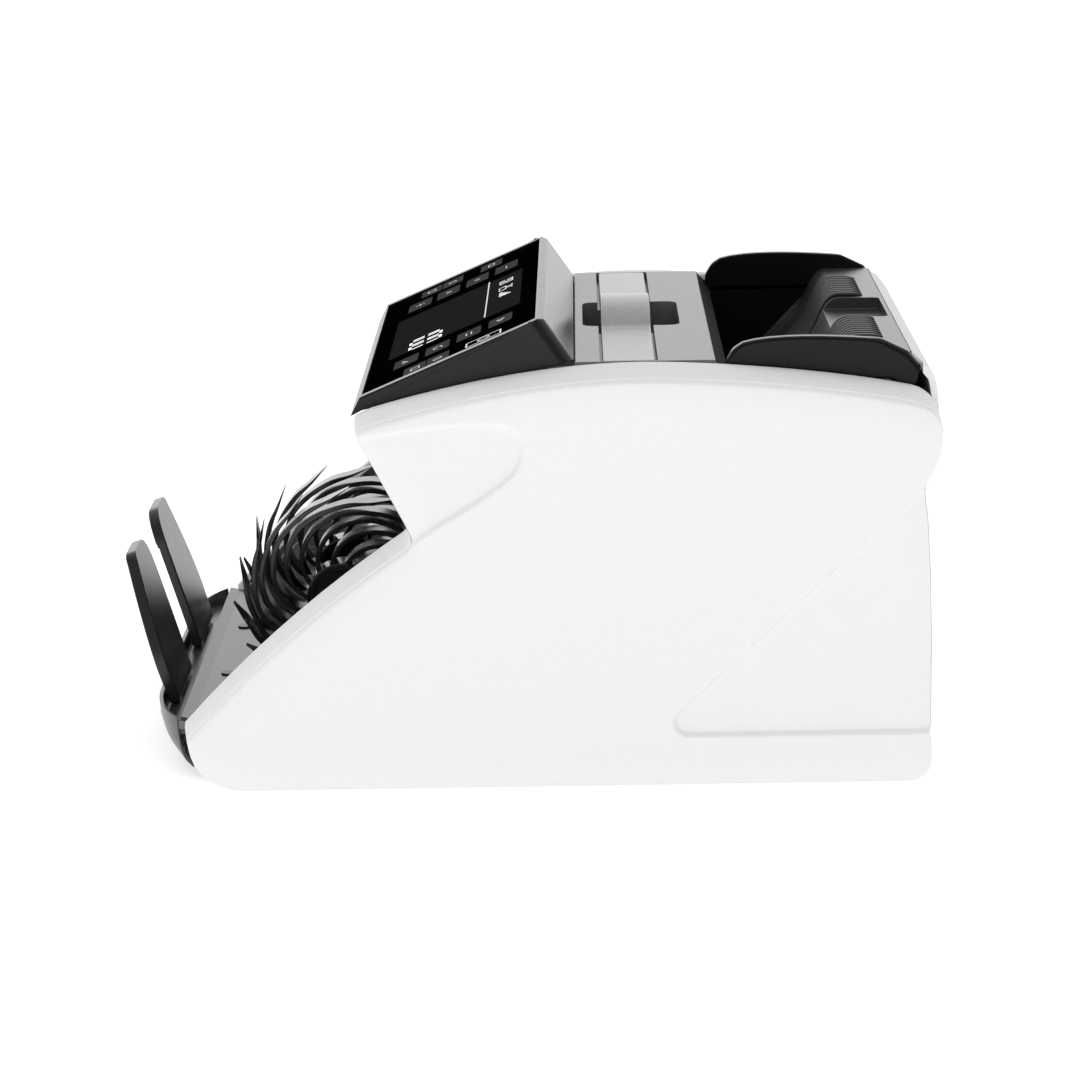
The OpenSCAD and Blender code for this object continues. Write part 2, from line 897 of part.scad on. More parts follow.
module transport_rollers() {
    color("#4b4b4b") {
        bar_x(transport_at, shaft_r - slack, -belt_x[1] - pulley_w, frame_out + 1.5);
        both_sides()
            bar_x(transport_at, transport_r, transport_x - transport_w / 2, transport_x + transport_w / 2);
        mirror([1, 0, 0]) {
            pulley(transport_at, transport_pulley_r, belt_x[0]);
            pulley(transport_at, train_pulley_r, belt_x[1]);
        }
    }
}

module idler(at, r) {
    color("#cfcfcf") {
        bar_x(at, shaft_r - slack, -frame_out - 1.5, frame_out + 1.5);
        both_sides()
            bar_x(at, r, transport_x - transport_w / 2, transport_x + transport_w / 2);
    }
}

module exit_idlers() {
    idler(exit_idler_at, exit_idler_r);
}

module transport_idlers() {
    idler(transport_idler_at, transport_idler_r);
}

disc_x = 80;

module encoder_disc() {
    slots = 24;
    color("#1c1c20")
        difference() {
            bar_x(transport_at, 10.6, disc_x, disc_x + 1.2);
            bar_x(transport_at, shaft_r - slack, disc_x - 1, disc_x + 3);
            for (i = [0:slots - 1])
                translate([disc_x - 1, transport_at.x, transport_at.y])
                    rotate([360 / slots * i, 0, 0])
                        translate([0, -0.6, 7])
                            cube([4, 1.2, 2.4]);
        }
}

module speed_sensor() {
    color("#101014")
        difference() {
            block([disc_x - 4, disc_x + 14], [transport_at.x - 6, transport_at.x + 6],
                [transport_at.y - 20, transport_at.y - 7]);
            block([disc_x - 1, disc_x + 2.2], [transport_at.x - 9, transport_at.x + 9],
                [transport_at.y - 15, transport_at.y]);
        }
}

module feed_rollers() {
    color("#7a3b2a") {
        bar_x(feed_at, shaft_r - slack, -frame_out - 1.5, belt_x[1] + pulley_w);
        both_sides()
            bar_x(feed_at, feed_r, feed_x - feed_w / 2, feed_x + feed_w / 2);
        pulley(feed_at, feed_pulley_r, belt_x[0]);
        pulley(feed_at, feed_train_pulley_r, belt_x[1]);
    }
}

module pickup_rollers() {
    color("#7a3b2a") {
        bar_x(pickup_at, shaft_r - slack, -frame_out - 1.5, belt_x[1] + pulley_w);
        both_sides()
            bar_x(pickup_at, pickup_r, pickup_x - pickup_w / 2, pickup_x + pickup_w / 2);
        pulley(pickup_at, pickup_pulley_r, belt_x[1]);
    }
}

module retard_rollers() {
    color("#7a3b2a") {
        bar_x(retard_at, 4, -frame_in, frame_in);
        both_sides()
            bar_x(retard_at, retard_r, feed_x - retard_w / 2, feed_x + retard_w / 2);
    }
}

// A guide plate across the machine, lift above the note line, with windows for the rollers
module note_guide(lift, windows) {
    y = [-11, 66];
    color("#b9bcc0")
        difference() {
            along_x(-frame_in, frame_in)
                polygon([[y[0], path_z(y[0]) + lift], [y[0], path_z(y[0]) + lift + 1.5],
                    [y[1], path_z(y[1]) + lift + 1.5], [y[1], path_z(y[1]) + lift]]);
            both_sides()
                for (w = windows)
                    block([w[0] - w[1], w[0] + w[1]], w[2], [80, 112]);
        }
}

module lower_note_guide() {
    note_guide(-2.5, [[transport_x, 8, [10.4, 42]], [feed_x, 8, [56, 90]]]);
}

module upper_note_guide() {
    note_guide(1, [[transport_x, 8, [17, 36]], [feed_x, 7.4, [52, 90]]]);
}

module sensor_bar() {
    color("#1f5f3a")
        block([-frame_in, frame_in], [6.5, 16.5], [99, 103]);
}

// ---------- drives ----------

module motor(at, r, length) {
    bar_x(at, r, frame_in - length, frame_in);
    bar_x(at, r * 0.4, frame_in - length - 4, frame_in - length);
}

module motor_pulley(at, r) {
    bar_x(at, 2.5, frame_in + 0.3, belt_x[0] + pulley_w + 0.5);
    pulley(at, r, belt_x[0]);
}

module main_motor() {
    color("#5c6066")
        mirror([1, 0, 0])
            motor(main_motor_at, 21, 60);
}

module main_motor_pulley() {
    color("silver")
        mirror([1, 0, 0])
            motor_pulley(main_motor_at, main_motor_pulley_r);
}

module feed_motor() {
    color("#5c6066")
        motor(feed_motor_at, 18, 52);
}

module feed_motor_pulley() {
    color("silver")
        motor_pulley(feed_motor_at, feed_motor_pulley_r);
}

belt_inset = (pulley_w - belt_w) / 2;

module main_belt() {
    belt([[main_motor_at, main_motor_pulley_r], [transport_at, transport_pulley_r]],
        -belt_x[0] - belt_inset - belt_w);
}

module stacker_belt() {
    belt([[stacker_at, stacker_pulley_r], [transport_at, train_pulley_r], [exit_at, exit_pulley_r]],
        -belt_x[1] - belt_inset - belt_w);
}

module feed_belt() {
    belt([[feed_motor_at, feed_motor_pulley_r], [feed_at, feed_pulley_r]], belt_x[0] + belt_inset);
}

module pickup_belt() {
    belt([[feed_at, feed_train_pulley_r], [pickup_at, pickup_pulley_r]], belt_x[1] + belt_inset);
}

// ---------- electronics ----------

module main_board() {
    chips = [[-60, 70], [-20, 84], [22, 72], [58, 88]];
    color("#1f5f3a") {
        block([-86, 86], [124, 125.6], [56, 108]);
        for (c = chips)
            block([c.x, c.x + 16], [125.6, 128], [c.y, c.y + 14]);
    }
}

module power_board() {
    parts = [[12, 28, 14], [36, 30, 20], [58, 46, 12]];
    color("#1f5f3a") {
        block([6, 88], [20, 74], [9, 10.6]);
        for (p = parts)
            block([p[0], p[0] + 14], [p[1], p[1] + 14], [10.6, 10.6 + p[2]]);
        for (x = [9, 84], y = [23, 70])
            bar_z([x, y], 2, foot_h + frame_t, 9);
    }
}

module transformer() {
    color("#6d5a2c") {
        block([-60, -10], [84, 118], [foot_h + frame_t, 46]);
        block([-66, -4], [90, 112], [10, 40]);
    }
}

base_plate();
rubber_feet();
base_screws();
left_frame();
right_frame();
frame_tie_rods();
shaft_bearings();
left_side_cover();
right_side_cover();
cover_screws();
display_housing();
display_glass();
display_board();
top_cover();
carry_handle();
handle_guides();
hopper_feed_plate();
hopper_front_wall();
left_hopper_cheek();
right_hopper_cheek();
rear_cover();
rear_cover_screws();
stack_tray();
left_stop_plate();
right_stop_plate();
front_bumper();
upper_note_guide();
lower_note_guide();
sensor_bar();
hopper_sensor();
stack_sensor();
speed_sensor();
stacker_shaft();
left_stacker_wheel();
right_stacker_wheel();
exit_rollers();
exit_idlers();
transport_rollers();
transport_idlers();
encoder_disc();
feed_rollers();
pickup_rollers();
retard_rollers();
main_motor();
main_motor_pulley();
feed_motor();
feed_motor_pulley();
main_belt();
stacker_belt();
feed_belt();
pickup_belt();
main_board();
power_board();
transformer();
power_inlet();
switch_body();
power_switch();
fuse_holder();
display_port();
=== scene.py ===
"""Looks of the banknote counting machine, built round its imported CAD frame.

Lengths in the outlines below are millimetres in the CAD frame: +X is the side that faces the
camera, -Y is the front with the stacker, and +Z is up from the table.
"""
import json
import math

import bmesh
import bpy
import numpy as np
from mathutils import Matrix, Vector, geometry


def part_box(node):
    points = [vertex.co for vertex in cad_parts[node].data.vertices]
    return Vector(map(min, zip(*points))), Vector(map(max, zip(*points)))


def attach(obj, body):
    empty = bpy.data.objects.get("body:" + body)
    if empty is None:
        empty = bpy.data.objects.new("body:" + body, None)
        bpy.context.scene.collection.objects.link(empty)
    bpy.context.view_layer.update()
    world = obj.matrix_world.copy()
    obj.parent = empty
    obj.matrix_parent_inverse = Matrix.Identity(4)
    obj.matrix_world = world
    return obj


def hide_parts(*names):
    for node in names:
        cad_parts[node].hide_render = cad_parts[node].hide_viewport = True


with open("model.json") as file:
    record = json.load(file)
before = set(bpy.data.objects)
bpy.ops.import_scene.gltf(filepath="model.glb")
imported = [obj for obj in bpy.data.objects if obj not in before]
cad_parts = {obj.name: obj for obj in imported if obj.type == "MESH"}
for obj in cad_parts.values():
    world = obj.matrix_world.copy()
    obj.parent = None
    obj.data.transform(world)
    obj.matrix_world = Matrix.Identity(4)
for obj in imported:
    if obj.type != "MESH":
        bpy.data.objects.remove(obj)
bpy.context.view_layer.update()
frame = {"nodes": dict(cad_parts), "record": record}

MM = 0.001
NODES = frame["nodes"]


def node_box(name):
    """Lowest and highest corner of a CAD node, in millimetres."""
    low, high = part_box(name)
    return low / MM, high / MM


COVER_LOW, COVER_HIGH = node_box("right_side_cover")
COVER_IN = COVER_LOW.x
COVER_OUT = COVER_HIGH.x
TOP = COVER_HIGH.z
SHELF = TOP + 1
MIDDLE = COVER_IN - 0.5
PLATE_HALF = node_box("hopper_feed_plate")[1].x


# -------- materials

def rgb(value):
    """A colour from one grey value or three numbers."""
    if isinstance(value, (int, float)):
        return (value, value, value, 1)
    return (*value, 1)


def ramp(tree, factor, *stops):
    """A colour ramp over a value, from two pairs of a place and a colour."""
    made = tree.nodes.new("ShaderNodeValToRGB")
    for stop, (place, value) in zip(made.color_ramp.elements, stops):
        stop.position = place
        stop.color = rgb(value)
    tree.links.new(factor, made.inputs["Fac"])
    return made.outputs["Color"]


class Surface:
    """A Principled material with its nodes laid out by short calls."""

    def __init__(self, name, roughness, **sockets):
        self.material = bpy.data.materials.new(name)
        self.material.use_nodes = True
        self.tree = self.material.node_tree
        self.shader = self.tree.nodes["Principled BSDF"]
        self.shader.inputs["Roughness"].default_value = roughness
        for key, value in sockets.items():
            self.shader.inputs[key.replace("_", " ")].default_value = value
        self.place = self.node("ShaderNodeTexCoord").outputs["Object"]
        self.normal = None

    def node(self, kind, **settings):
        made = self.tree.nodes.new(kind)
        for key, value in settings.items():
            setattr(made, key, value)
        return made

    def link(self, source, target):
        self.tree.links.new(source, target)

    def stretched(self, scale):
        """Object coordinates scaled unevenly, for brushed or drawn surfaces."""
        mapping = self.node("ShaderNodeMapping")
        mapping.inputs["Scale"].default_value = scale
        self.link(self.place, mapping.inputs["Vector"])
        return mapping.outputs["Vector"]

    def noise(self, scale, detail=3, vector=None):
        made = self.node("ShaderNodeTexNoise")
        made.inputs["Scale"].default_value = scale
        made.inputs["Detail"].default_value = detail
        self.link(vector or self.place, made.inputs["Vector"])
        return made.outputs["Fac"]

    def blend(self, socket, factor, low, high, start=0.35, end=0.65):
        self.link(ramp(self.tree, factor, (start, low), (end, high)), self.shader.inputs[socket])

    def colour(self, *blend):
        self.blend("Base Color", *blend)

    def roughness(self, *blend):
        self.blend("Roughness", *blend)

    def bump(self, factor, strength, distance):
        made = self.node("ShaderNodeBump")
        made.inputs["Strength"].default_value = strength
        made.inputs["Distance"].default_value = distance
        self.link(factor, made.inputs["Height"])
        if self.normal:
            self.link(self.normal, made.inputs["Normal"])
        self.normal = made.outputs["Normal"]
        self.link(self.normal, self.shader.inputs["Normal"])


def shade(tone, factor):
    """A grey value or three numbers, scaled."""
    if isinstance(tone, (int, float)):
        return tone * factor
    return tuple(part * factor for part in tone)


def moulded(name, tone, roughness, grain, depth, spread=0.05, **sockets):
    """Moulded plastic: faint flow shading, a spark-eroded grain and slightly uneven gloss."""
    s = Surface(name, roughness, **sockets)
    s.colour(s.noise(300, 5), shade(tone, 1 - spread), shade(tone, 1 + spread))
    s.roughness(s.noise(900, 4), roughness * 0.95, roughness * 1.05)
    s.bump(s.noise(grain, 2), 0.3, depth)
    return s.material


def metal(name, dark, light, roughness, along, **sockets):
    """Drawn or rolled metal with fine lines along one axis and faint stains."""
    s = Surface(name, roughness, Metallic=1.0, **sockets)
    lines = s.noise(900, 3, s.stretched([0.02 if axis == along else 1 for axis in "xyz"]))
    s.colour(s.noise(60, 4), dark, light)
    s.roughness(lines, roughness * 0.75, roughness * 1.3)
    s.bump(lines, 0.12, 0.00004)
    return s.material


def rubber(name, dark, light, roughness, lines=None):
    """Rubber with a ground or moulded grain and a little dust."""
    s = Surface(name, roughness)
    s.colour(s.noise(240, 5), dark, light, 0.3, 0.75)
    s.roughness(s.noise(90, 3), roughness * 0.85, min(1, roughness * 1.1))
    s.bump(s.noise(2400, 3, s.stretched(lines) if lines else None), 0.4, 0.00005)
    return s.material


def circuit_board(name):
    """Green lacquered board: copper tracks under the lacquer, as raised paler lines."""
    s = Surface(name, 0.32)
    tracks = s.node("ShaderNodeTexBrick", offset=0.35, squash=1.6, squash_frequency=3)
    tracks.inputs["Scale"].default_value = 130
    tracks.inputs["Mortar Size"].default_value = 0.018
    tracks.inputs["Color1"].default_value = (0.01, 0.075, 0.035, 1)
    tracks.inputs["Color2"].default_value = (0.012, 0.09, 0.04, 1)
    tracks.inputs["Mortar"].default_value = (0.05, 0.24, 0.1, 1)
    s.link(s.place, tracks.inputs["Vector"])
    s.link(tracks.outputs["Color"], s.shader.inputs["Base Color"])
    s.bump(tracks.outputs["Fac"], 0.3, 0.0001)
    return s.material


WHITE = moulded("white_satin_plastic", 0.76, 0.3, 900, 0.000004, 0.006, Specular_IOR_Level=0)
BLACK = moulded("black_satin_plastic", 0.014, 0.36, 2600, 0.00002)
CHEEK = moulded("cheek_gloss_plastic", 0.004, 0.24, 1400, 0.000006, Specular_IOR_Level=0.2)
RIB = moulded("rib_matt_plastic", 0.01, 0.45, 2600, 0.00001, Specular_IOR_Level=0.2)
# Matt black for the top panel's rear slope: painted shade, dark as if that face turned away from the light.
SLOPE_SHADE_BLACK = moulded("matt_black_painted_shade", 0.012, 0.7, 2600, 0.00002, Specular_IOR_Level=0.03)
HOUSING = moulded("housing_satin_plastic", 0.006, 0.26, 2600, 0.000015, Specular_IOR_Level=0.28)
# Top cover: dark plastic given a grey base colour as painted sheen, on top of the real reflection of the
# studio.
TOP_SHEEN_GREY = moulded("top_plastic_painted_sheen", 0.12, 0.34, 2600, 0.000012)
# Grip strip: the same dark plastic given a lighter grey base colour as painted sheen, on top of the real
# reflection of the studio.
GRIP_SHEEN_GREY = moulded("grip_plastic_painted_sheen", 0.27, 0.3, 2600, 0.000012)
SHELF_DARK = moulded("shelf_satin_plastic", 0.03, 0.3, 2600, 0.000015)
GLASS = moulded("touch_glass_black", 0.0008, 0.06, 900, 0.0000002, Specular_IOR_Level=0.0)
WINDOW = moulded("counter_window_grey", 0.0155, 0.25, 1800, 0.0000002, Specular_IOR_Level=0.0)
KEY = moulded("touch_key_grey", 0.055, 0.3, 1800, 0.0000002, Specular_IOR_Level=0.0)
INK = moulded("white_ink", 0.76, 0.5, 1800, 0.000001, Specular_IOR_Level=0.1)
LIT = moulded("lit_segments", 0.82, 0.4, 1800, 0.000001, Emission_Strength=0.5,
              Emission_Color=(0.95, 0.97, 1, 1))
TRAY = moulded("tray_gloss_plastic", 0.022, 0.18, 1400, 0.000008, Specular_IOR_Level=0.27)
FIN = moulded("fin_gloss_plastic", 0.006, 0.14, 1200, 0.000006)
IDLER = moulded("idler_acetal", 0.66, 0.4, 1500, 0.00002)
GUIDE = moulded("guide_grey_plastic", 0.32, 0.4, 1800, 0.00003)
BUMPER = moulded("bumper_gloss_plastic", 0.035, 0.26, 1800, 0.000008)
SWITCH_RED = moulded("switch_red_plastic", (0.39, 0.012, 0.009), 0.25, 1500, 0.00001)
SMOKE = moulded("smoke_gloss_plastic", 0.012, 0.26, 700, 0.000004, Specular_IOR_Level=0.4)
SHEET_STEEL = metal("zinc_plated_sheet", 0.42, 0.52, 0.34, "y")
BRIGHT_STEEL = metal("ground_steel", 0.55, 0.62, 0.22, "x")
BRONZE = metal("sintered_bronze", (0.42, 0.26, 0.1), (0.55, 0.36, 0.16), 0.42, "x")
MOTOR = metal("motor_can", 0.16, 0.2, 0.38, "x")
CORE = metal("varnished_core", (0.16, 0.11, 0.05), (0.24, 0.17, 0.08), 0.5, "x")
FOOT = rubber("foot_rubber", 0.014, 0.022, 0.8)
ROLLER = rubber("roller_rubber", (0.2, 0.055, 0.035), (0.28, 0.085, 0.055), 0.7, (0.03, 1, 1))
TRACTION = rubber("traction_rubber", 0.05, 0.08, 0.72, (0.03, 1, 1))
BELT = rubber("belt_rubber", 0.012, 0.02, 0.75)
BOARD = circuit_board("circuit_board")

FINISH = {
    "white_plastic": WHITE, "black_plastic": BLACK, "smoke_plastic": SMOKE, "fin_plastic": FIN,
    "touch_glass": SMOKE, "grey_plastic": GUIDE, "handle_plastic": GRIP_SHEEN_GREY, "sheet_steel": SHEET_STEEL,
    "bright_steel": BRIGHT_STEEL, "bearing_bronze": BRONZE, "foot_rubber": FOOT,
    "roller_rubber": ROLLER, "grip_rubber": TRACTION, "belt_rubber": BELT, "motor_steel": MOTOR,
    "circuit_board": BOARD, "core_steel": CORE, "switch_red": SWITCH_RED,
}
for part in frame["record"]["subparts"]:
    for held in NODES[part["node"]].material_slots:
        held.material = FINISH[part["material_slot"]]
for name, finish in {"stack_tray": TRAY, "front_bumper": BUMPER, "transport_idlers": IDLER,
                     "exit_idlers": IDLER, "top_cover": TOP_SHEEN_GREY}.items():
    NODES[name].material_slots[0].material = finish


# -------- mesh helpers

def piece(name, shape, finish, body="chassis", replaces=(), sharp=32):
    """A finished piece from points in millimetres; edges sharper than sharp degrees stay crisp."""
    return finish_piece(name, as_mesh(shape), finish, body, replaces, sharp)


def added(name, data):
    """A new object in the scene."""
    made = bpy.data.objects.new(name, data)
    bpy.context.scene.collection.objects.link(made)
    return made


def outward(mesh, merge=0):
    """Points of a mesh closer than merge are joined, and its normals turned outwards."""
    shape = bmesh.new()
    shape.from_mesh(mesh)
    if merge:
        bmesh.ops.remove_doubles(shape, verts=shape.verts, dist=merge)
    bmesh.ops.recalc_face_normals(shape, faces=shape.faces)
    shape.to_mesh(mesh)
    shape.free()
    return mesh


def finish_piece(name, mesh, finish, body="chassis", replaces=(), sharp=32):
    outward(mesh, 0.000004)
    mesh.shade_smooth()
    mesh.set_sharp_from_angle(angle=math.radians(sharp))
    mesh.materials.clear()
    mesh.materials.append(finish)
    made = added(name, mesh)
    flat_faces(made)
    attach(made, body)
    if replaces:
        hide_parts(*replaces)
    return made


def flat_faces(target):
    """Keeps the shading of large faces flat beside their rounded edges."""
    even = target.modifiers.new("even", "WEIGHTED_NORMAL")
    even.keep_sharp = True


def tube(count, rings):
    """Faces that join rings of count points each, one after the other, and close both ends."""
    faces = []
    for a in range(0, (rings - 1) * count, count):
        b = a + count
        faces += [(a + i, b + i, b + (i + 1) % count, a + (i + 1) % count) for i in range(count)]
    faces.append(tuple(range(count)))
    faces.append(tuple((rings - 1) * count + i for i in reversed(range(count))))
    return faces


def prism(outline, x0, x1):
    """Mesh of a YZ outline carried across the machine from x0 to x1."""
    points = [(x * MM, y * MM, z * MM) for x in (x0, x1) for y, z in outline]
    mesh = bpy.data.meshes.new("prism")
    mesh.from_pydata(points, [], tube(len(outline), 2))
    return mesh


def box_mesh(x, y, z):
    return prism(rectangle(y, z), x[0], x[1])


def rod_mesh(centre, axis, radius, length, sides=32):
    """Mesh of a round rod through a point, in millimetres."""
    shape = bmesh.new()
    turn = Vector((0, 0, 1)).rotation_difference(Vector(axis)).to_matrix().to_4x4()
    place = Matrix.Translation(Vector(centre) * MM) @ turn
    bmesh.ops.create_cone(shape, cap_ends=True, segments=sides, radius1=radius * MM,
                          radius2=radius * MM, depth=length * MM, matrix=place)
    mesh = bpy.data.meshes.new("rod")
    shape.to_mesh(mesh)
    shape.free()
    return mesh


def joined(meshes):
    shape = bmesh.new()
    for mesh in meshes:
        shape.from_mesh(mesh)
    made = bpy.data.meshes.new("joined")
    shape.to_mesh(made)
    shape.free()
    return made


def solid(base, cuts=(), adds=(), bevel=0.0, segments=3, angle=30):
    """Mesh of base with adds united, cuts taken away and its edges rounded by bevel mm."""
    body = added("scratch", outward(base))
    helpers = []
    for kind, meshes in (("UNION", adds), ("DIFFERENCE", cuts)):
        for mesh in meshes:
            tool = added("scratch", outward(mesh))
            step = body.modifiers.new(kind, "BOOLEAN")
            step.operation = kind
            step.solver = "EXACT"
            step.object = tool
            helpers.append(tool)
    if bevel:
        edge = body.modifiers.new("edge", "BEVEL")
        edge.width = bevel * MM
        edge.segments = segments
        edge.limit_method = "ANGLE"
        edge.angle_limit = math.radians(angle)
        edge.use_clamp_overlap = True
    bpy.context.view_layer.update()
    graph = bpy.context.evaluated_depsgraph_get()
    result = bpy.data.meshes.new_from_object(body.evaluated_get(graph))
    for used in (body, *helpers):
        bpy.data.objects.remove(used)
    return result


def curve(a, b, c, d, n):
    """Points of a cubic curve without its last point."""
    out = []
    for i in range(n):
        t = i / n
        s = 1 - t
        weights = (s * s * s, 3 * s * s * t, 3 * s * t * t, t * t * t)
        out.append(tuple(sum(w * p[k] for w, p in zip(weights, (a, b, c, d))) for k in (0, 1)))
    return out


def inset(outline, distance):
    """Moves each side of a clockwise outline inwards; distance may differ from side to side.

    Where two sides nearly run on in one line, their point moves by the mean of the two.
    """
    p = np.array(outline, float)
    after = np.roll(p, -1, 0) - p
    after /= np.linalg.norm(after, axis=1)[:, None]
    n_after = np.stack([after[:, 1], -after[:, 0]], 1)
    n_before = np.roll(n_after, 1, 0)
    d_after = np.broadcast_to(np.array(distance, float), len(p))
    d_before = np.roll(d_after, 1)
    cross = n_before[:, 0] * n_after[:, 1] - n_before[:, 1] * n_after[:, 0]
    straight = np.abs(cross) < 0.45
    safe = np.where(straight, 1, cross)
    x = (d_before * n_after[:, 1] - d_after * n_before[:, 1]) / safe
    y = (d_after * n_before[:, 0] - d_before * n_after[:, 0]) / safe
    both = 2 + 2 * (n_before * n_after).sum(1)[:, None]
    mean = (n_before + n_after) * (d_before + d_after)[:, None] / both
    return p + np.where(straight[:, None], mean, np.stack([x, y], 1))


LEAST_TURN = math.radians(12)


def filleted(outline, radius, steps=5, closed=True):
    """Rounds the corners of an outline that turn by more than LEAST_TURN.

    Points may carry a third number, which is blended along with the other two.
    """
    p = np.array(outline, float)
    flat = p[:, :2]
    radii = np.broadcast_to(np.array(radius, float), len(p))
    out = []
    for i in range(len(p)):
        before, after = i - 1, (i + 1) % len(p)
        back, on = flat[before] - flat[i], flat[after] - flat[i]
        a, b = np.linalg.norm(back), np.linalg.norm(on)
        turn = math.pi - math.acos(max(-1, min(1, back @ on / (a * b))))
        ends = not closed and i in (0, len(p) - 1)
        if ends or radii[i] <= 0 or turn < LEAST_TURN:
            out.append(p[i])
            continue
        cut = min(radii[i] * math.tan(turn / 2), 0.48 * a, 0.48 * b)
        start = p[i] + (p[before] - p[i]) * cut / a
        end = p[i] + (p[after] - p[i]) * cut / b
        for k in range(steps + 1):
            t = k / steps
            out.append((1 - t) ** 2 * start + 2 * t * (1 - t) * p[i] + t * t * end)
    return [tuple(q) for q in out]


def slab(outline, x0, x1, r0=0.5, r1=0.5, steps=5, corners=0):
    """Points and faces of a clockwise outline carried from x0 to x1, both rims rounded.

    A rim's radius may be one number or one for each side of the outline, and corners is the
    radius of the outline's own corners, one number or one for each.
    """
    points = []

    def rim(x, radius, sense, angle):
        each = np.broadcast_to(np.array(radius, float), len(outline))
        reach = np.maximum(each, np.roll(each, 1)) * (1 - math.cos(angle))
        moved = np.column_stack([inset(outline, each * (1 - math.sin(angle))), x + sense * reach])
        ring = filleted(moved, corners, closed=True)
        points.extend((q[2], q[0], q[1]) for q in ring)
        return len(ring)

    angles = [math.pi / 2 * k / steps for k in range(steps + 1)]
    for angle in angles:
        count = rim(x0, r0, 1, angle)
    for angle in reversed(angles):
        rim(x1, r1, -1, angle)
    return points, tube(count, 2 * len(angles))


def mirrored(shape):
    points, faces = shape
    return [(-x, y, z) for x, y, z in points], [tuple(reversed(f)) for f in faces]


def together(shapes):
    """Several lots of points and faces as one."""
    points = []
    faces = []
    for more, sides in shapes:
        start = len(points)
        points += [tuple(p) for p in more]
        faces += [tuple(start + i for i in side) for side in sides]
    return points, faces


def as_mesh(shape):
    points, faces = shape
    mesh = bpy.data.meshes.new("shape")
    mesh.from_pydata([Vector(p) * MM for p in points], [], faces)
    mesh.validate()
    return mesh


def turned(shape, matrix):
    """Points moved by a 4 by 4 matrix."""
    points, faces = shape
    return [tuple(matrix @ Vector(p)) for p in points], faces


def along_z(shape):
    """A slab whose outline was given in X and Y, carried along Z."""
    points, faces = shape
    return [(y, z, x) for x, y, z in points], faces


def along_y(shape):
    """A slab whose outline was given in X and Z, carried along Y."""
    points, faces = shape
    return [(y, x, z) for x, y, z in points], [tuple(reversed(f)) for f in faces]


def rectangle(u, v):
    """A clockwise rectangle between two pairs."""
    return [(u[0], v[0]), (u[0], v[1]), (u[1], v[1]), (u[1], v[0])]


def lathe(profile, centre, sides):
    """Points and faces of a round shape about the X direction; profile is (x, radius) pairs."""
    angles = [2 * math.pi * i / sides for i in range(sides)]
    points = [(x, centre[0] + r * math.cos(a), centre[1] + r * math.sin(a))
              for x, r in profile for a in angles]
    return points, tube(sides, len(profile))


def sheet(line, thickness):
    """Outline of a sheet on the right of an open line."""
    p = np.array(line, float)
    steps = np.diff(p, axis=0)
    steps /= np.linalg.norm(steps, axis=1)[:, None]
    before = np.vstack([steps[:1], steps])
    after = np.vstack([steps, steps[-1:]])
    n_before = np.stack([before[:, 1], -before[:, 0]], 1)
    n_after = np.stack([after[:, 1], -after[:, 0]], 1)
    scale = 1 + (n_before * n_after).sum(1)[:, None]
    away = p + thickness * (n_before + n_after) / scale
    return [tuple(q) for q in p] + [tuple(q) for q in away[::-1]]


def smoothstep(low, high, value):
    t = np.clip((value - low) / (high - low), 0, 1)
    return t * t * (3 - 2 * t)


def signed_distance(points, outline):
    """Distance of each point to a closed outline, negative inside."""
    p = np.array(points, float)
    a = np.array(outline, float)
    b = np.roll(a, -1, 0)
    best = np.full(len(p), 1e9)
    inside = np.zeros(len(p), bool)
    for start, end in zip(a, b):
        run = end - start
        t = np.clip(((p - start) @ run) / (run @ run), 0, 1)
        best = np.minimum(best, np.linalg.norm(p - start - t[:, None] * run, axis=1))
        crosses = (start[1] > p[:, 1]) != (end[1] > p[:, 1])
        with np.errstate(divide="ignore", invalid="ignore"):
            at = start[0] + (p[:, 1] - start[1]) * run[0] / run[1]
        inside ^= crosses & (p[:, 0] < at)
    return np.where(inside, -best, best)


# -------- side covers

# Runs of outline points, and how much of the rim's rounding each run starts and ends with
COVER_RUNS = (
    ([(-59, 135.2)] + curve((-52, 138.2), (-28, 145), (8, TOP), (43, TOP), 14)
     + curve((43, TOP), (70, TOP), (115, 148.5), (139.5, 143.2), 12), 1, 1),
    (curve((139.5, 143.2), (146, 141.5), (149.5, 136), (149.5, 129.5), 8), 1, 0.22),
    (curve((149.5, 129.5), (149.5, 122), (147, 116), (142.6, 110), 6), 0.2, 0.14),
    ([(142.6, 110), (144.2, 100), (145.4, 78), (145.9, 55), (145.9, 24), (145.3, 19.6), (146.2, 16.6)]
     + curve((146.2, 10.5), (146.2, 5.5), (142.5, 2), (137.5, 2), 8), 0.14, 0.14),
    ([(137.5, 2), (60, 2), (-20, 2)], 0.14, 0.14),
    (curve((-100, 2), (-116, 2), (-122, 9), (-123.2, 23), 12), 0.14, 0.9),
    (curve((-123.2, 23), (-96, 53), (-66, 77), (-38.5, 95), 10), 1, 1),
    ([(-38.5, 95), (-44, 105.8), (-51, 119.5)], 0.08, 0.08),
)
COVER_OUTLINE = [point for run, _, _ in COVER_RUNS for point in run]
RIM_SHARE = np.concatenate([np.linspace(start, end, len(run)) for run, start, end in COVER_RUNS])
SOFT_CORNERS = (((-59, 135.2), 3, 3), ((-38.5, 95), 7, 10), ((142.6, 110), 6, 12))
NOSE_RECESS = (
    [(-80, 127.5)]
    + curve((-58, 130.5), (-40, 134), (-22, 136.5), (-8, 135.5), 10)
    + curve((-8, 135.5), (4, 134.5), (4, 122), (-3, 116), 12)
    + curve((-3, 116), (-10, 110), (-19, 104.5), (-28, 99.4), 6)
    + [(-28, 99.4), (-60, 77)]
)
REAR_RECESS = (
    [(170, 136.5), (170, 20.8)]
    + curve((60, 20.8), (53.6, 20.8), (51.6, 26.2), (56, 30.5), 12)
    + [(56, 30.5)]
)
RECESS_DEPTH = 1.8
